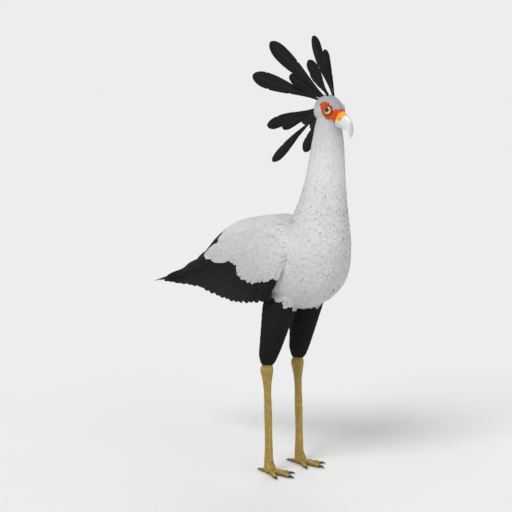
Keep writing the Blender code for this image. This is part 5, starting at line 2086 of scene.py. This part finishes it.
class BirdColours(bpy.types.PropertyGroup):
    """Colours that a user would change."""

    body: colour_setting("Body", "#D8D8DA", "Plumage of neck and body")
    crown: colour_setting("Crown", "#B3B4B7", "Top of the head")
    coverts: colour_setting("Wing coverts", "#C9C9CC", "Small and large coverts of the wing")
    black: colour_setting("Black", "#19191A", "Flight feathers, thighs, rump and crest")
    mask: colour_setting("Mask", "#E04E00", "Bare skin round the eye")
    cere: colour_setting("Cere", "#FDB32A", "Soft skin at the root of the bill")
    bill: colour_setting("Bill", "#E2E3E3", "Horn of the bill")
    bill_tip: colour_setting("Bill tip", "#BDC0C1", "Horn at the hook of the bill")
    iris: colour_setting("Iris", "#F5BE55", "Iris of the eye")
    legs: colour_setting("Legs", "#AA8F40", "Bare shanks and toes")
    claws: colour_setting("Claws", "#2A2621", "Claws")


class BirdSizes(bpy.types.PropertyGroup):
    """Sizes that a user would change."""

    coat_density: number_setting("Coat density", "How close the small feathers stand", 0.5, 1.3, 1.0)
    camera_distance: number_setting("Camera distance", "From the bird's middle", 2.0, 12.0, 5.0, "LENGTH")
    floor_size: number_setting("Floor size", "Width of the studio floor", 4.0, 80.0, 40.0, "LENGTH")


def settings(context):
    return context.scene.bird_colours, context.scene.bird_sizes


class BIRD_OT_materials(bpy.types.Operator):
    """Make the shared node groups and the materials"""

    bl_idname = "bird.materials"
    bl_label = "Materials"

    def execute(self, context):
        colours, _ = settings(context)
        GROUPS.update(barbs=barb_group(), mottle=mottle_group(), pebbles=pebble_group())
        looks = {"Count": 9.0, "Barb_Tint": 0.04, "Shaft_Tint": 0.96, "Edge_Tint": 1.02}
        MATERIALS["coat"] = plumage_material("small_feathers", roughness=0.80, gloss=0.15, **looks)
        looks = {"Count": 90.0, "Barb_Tint": 0.14, "Shaft_Tint": 2.6, "Edge_Tint": 1.4}
        MATERIALS["quill"] = plumage_material("large_feathers", roughness=0.55, gloss=0.11, **looks)
        MATERIALS["skin"] = skin_material()
        MATERIALS["legs"] = leg_material(colours)
        low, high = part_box("bill_upper")
        pale = tuple(colours.bill)
        tip = tuple(colours.bill_tip)
        MATERIALS["bill"] = horn_material("bill_horn", pale, tip, low.x + 0.03, high.x, 0.30)
        dark = tuple(colours.claws)
        tip = tuple(0.5 * v for v in dark)
        MATERIALS["claws"] = horn_material("claw_horn", dark, tip, 0.0, 0.3, 0.35)
        MATERIALS["eye"] = eye_material(colours)
        return {"FINISHED"}


# The joined skin has many more faces than this. How bright the legs' skin is under their scales.
LEAST_SKIN_FACES = 10000
UNDER_SCALES = 0.62


class BIRD_OT_skin(bpy.types.Operator):
    """Make the one skin that stands for the flesh of the bird"""

    bl_idname = "bird.skin"
    bl_label = "Skin"

    def execute(self, context):
        colours, _ = settings(context)
        mesh = flesh_mesh()
        if len(mesh.polygons) < LEAST_SKIN_FACES:
            raise RuntimeError("the skin's parts did not join")
        points, _, _ = read_mesh(mesh)
        zones = skin_zones(points)
        tone = np.full((len(points), 4), 0.1)
        tone[:, :3] = markings_and_painted_shade(points, zones, colours)
        head = zones == "head"
        tone[head, :3] = face_colours(points[head], tone[head, :3], colours)
        tone[head, 3] = pebbled(points[head])
        bare = np.char.startswith(zones, "shank") | np.char.startswith(zones, "foot")
        tone[bare, :3] = np.array(colours.legs) * UNDER_SCALES
        tone[bare, 3] = 1.0
        arm = np.char.startswith(zones, "wing")
        tone[arm, :3] = colours.coverts
        made = piece("skin", mesh, MATERIALS["skin"], {"OFBake": skin_map(mesh)}, tone)
        flesh = ["head", "neck", "torso", "tail", "cere"]
        for word in SIDES:
            flesh += [f"{part}_{word}" for part in ("wing", "thigh", "shank", "foot")]
        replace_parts(made, *flesh)
        return {"FINISHED"}


class BIRD_OT_coat(bpy.types.Operator):
    """Lay the small feathers over body, neck, head and thighs"""

    bl_idname = "bird.coat"
    bl_label = "Coat"

    def execute(self, context):
        colours, sizes = settings(context)
        rng = np.random.default_rng(SEED)
        form = Form()
        roots, zones = lay_coat(form, sizes.coat_density, rng)
        for zone in sorted(set(zones)):
            mine = zones == zone
            coat_piece("coat_" + zone, form, roots[mine], zones[mine], colours, MATERIALS["coat"], rng)
        return {"FINISHED"}


class BIRD_OT_wings(bpy.types.Operator):
    """Lay the flight feathers and coverts of both closed wings"""

    bl_idname = "bird.wings"
    bl_label = "Wings"

    def execute(self, context):
        colours, sizes = settings(context)
        for word in SIDES:
            rng = np.random.default_rng(SEED + 2 + SIDES[word])
            build_wing(word, colours, MATERIALS["quill"], rng)
            build_small_coverts(word, sizes.coat_density, colours, MATERIALS["coat"], rng)
        return {"FINISHED"}


class BIRD_OT_tail(bpy.types.Operator):
    """Lay the tail feathers"""

    bl_idname = "bird.tail"
    bl_label = "Tail"

    def execute(self, context):
        colours, _ = settings(context)
        build_tail(colours, MATERIALS["quill"], np.random.default_rng(SEED + 5))
        return {"FINISHED"}


class BIRD_OT_crest(bpy.types.Operator):
    """Raise the crest"""

    bl_idname = "bird.crest"
    bl_label = "Crest"

    def execute(self, context):
        colours, _ = settings(context)
        build_crest(colours, MATERIALS["quill"], np.random.default_rng(SEED + 6))
        return {"FINISHED"}


class BIRD_OT_face(bpy.types.Operator):
    """Make bill, eyes and lashes"""

    bl_idname = "bird.face"
    bl_label = "Bill and eyes"

    def execute(self, context):
        colours, _ = settings(context)
        build_bill(MATERIALS["bill"])
        for word in SIDES:
            build_eye(word, MATERIALS["eye"])
            build_lashes(word, colours, MATERIALS["quill"], np.random.default_rng(SEED + 7))
        return {"FINISHED"}


class BIRD_OT_legs(bpy.types.Operator):
    """Cover shanks and toes with plates and add the claws"""

    bl_idname = "bird.legs"
    bl_label = "Scales and claws"

    def execute(self, context):
        for word in SIDES:
            build_leg_plates(word, MATERIALS["legs"], np.random.default_rng(SEED + 8))
            build_toe_plates(word, MATERIALS["legs"])
            build_claws(word, MATERIALS["claws"])
        return {"FINISHED"}


class BIRD_OT_stage(bpy.types.Operator):
    """Set up floor, soft light and the camera"""

    bl_idname = "bird.stage"
    bl_label = "Studio"

    def execute(self, context):
        _, sizes = settings(context)
        build_floor(sizes.floor_size)
        build_lights()
        build_camera(sizes.camera_distance)
        return {"FINISHED"}


def build_floor(size):
    bpy.ops.mesh.primitive_plane_add(size=size, location=(0, 0, 0))
    floor = bpy.context.object
    floor.name = "floor"
    made, _, inputs = new_material("studio_floor", 0.9)
    inputs["Base Color"].default_value = (0.90, 0.90, 0.90, 1)
    floor.data.materials.append(made)


# The brightness of the white surroundings, as light and as the camera sees them.
SOFT_LIGHT = 0.42
BACKDROP = 0.8445


def soft_sun(name, from_way, strength, spread):
    """A distant lamp as wide as a soft box, so that the floor is lit evenly."""
    lamp = bpy.data.lights.new(name, "SUN")
    lamp.energy = strength
    lamp.angle = math.radians(spread)
    made = placed(name, lamp)
    made.location = Vector(from_way) * 3
    made.rotation_euler = (-Vector(from_way)).to_track_quat("-Z", "Y").to_euler()


def build_lights():
    soft_sun("key", (0.10, -0.75, 0.85), 1.5, 25)
    soft_sun("fill", (0.95, -0.20, 0.55), 0.45, 45)
    soft_sun("rim", (-0.70, 0.75, 0.80), 0.5, 30)
    world = bpy.data.worlds.new("studio")
    world.use_nodes = True
    n = Nodes(world.node_tree)
    seen = n.add("LightPath").outputs["Is Camera Ray"]
    background = world.node_tree.nodes["Background"].inputs
    n.feed(background["Strength"], n.plus(SOFT_LIGHT, n.times(seen, BACKDROP - SOFT_LIGHT)))
    background["Color"].default_value = (1.0, 1.0, 1.0, 1)
    bpy.context.scene.world = world
    bpy.context.scene.view_settings.view_transform = "Standard"


AZIMUTH = math.radians(40)
ELEVATION = math.radians(9)
LENS = 111.0
PIXELS_PER_METRE = 316.0
# The bird's middle, from its feet back and up, and where the camera's aim lies from there, in
# pixels of a 512 pixel frame.
MIDDLE_BACK = 0.0038
MIDDLE_UP = 0.65
AIM_LEFT = 28.05
AIM_UP = 12.9


def build_camera(distance):
    """The camera at the drawing's angle and framing."""
    level = math.cos(ELEVATION)
    back = Vector((math.sin(AZIMUTH) * level, -math.cos(AZIMUTH) * level, math.sin(ELEVATION)))
    right = Vector((math.cos(AZIMUTH), math.sin(AZIMUTH), 0))
    up = back.cross(right)
    middle = Vector((STAND_X - MIDDLE_BACK, 0, MIDDLE_UP))
    place = middle + back * distance
    aim = middle - right * (AIM_LEFT / PIXELS_PER_METRE) + up * (AIM_UP / PIXELS_PER_METRE)
    camera = placed("camera", bpy.data.cameras.new("camera"))
    camera.data.lens = LENS
    camera.location = place
    camera.rotation_euler = (aim - place).to_track_quat("-Z", "Y").to_euler()
    bpy.context.scene.camera = camera


STEPS = (
    BIRD_OT_materials,
    BIRD_OT_skin,
    BIRD_OT_coat,
    BIRD_OT_wings,
    BIRD_OT_tail,
    BIRD_OT_crest,
    BIRD_OT_face,
    BIRD_OT_legs,
    BIRD_OT_stage,
)


class BIRD_PT_panel(bpy.types.Panel):
    """The bird's settings and building steps"""

    bl_idname = "BIRD_PT_panel"
    bl_label = "Secretary Bird"
    bl_space_type = "VIEW_3D"
    bl_region_type = "UI"
    bl_category = "Bird"

    def draw(self, context):
        for group in settings(context):
            for label in group.__annotations__:
                self.layout.prop(group, label)
        for step in STEPS:
            self.layout.operator(step.bl_idname)


CLASSES = (BirdColours, BirdSizes, *STEPS, BIRD_PT_panel)


def register():
    for item in CLASSES:
        bpy.utils.register_class(item)
    bpy.types.Scene.bird_colours = bpy.props.PointerProperty(type=BirdColours)
    bpy.types.Scene.bird_sizes = bpy.props.PointerProperty(type=BirdSizes)


def unregister():
    del bpy.types.Scene.bird_sizes
    del bpy.types.Scene.bird_colours
    for item in reversed(CLASSES):
        bpy.utils.unregister_class(item)


def main():
    register()
    for step in STEPS:
        area, name = step.bl_idname.split(".")
        getattr(getattr(bpy.ops, area), name)()


if __name__ == "__main__":
    main()
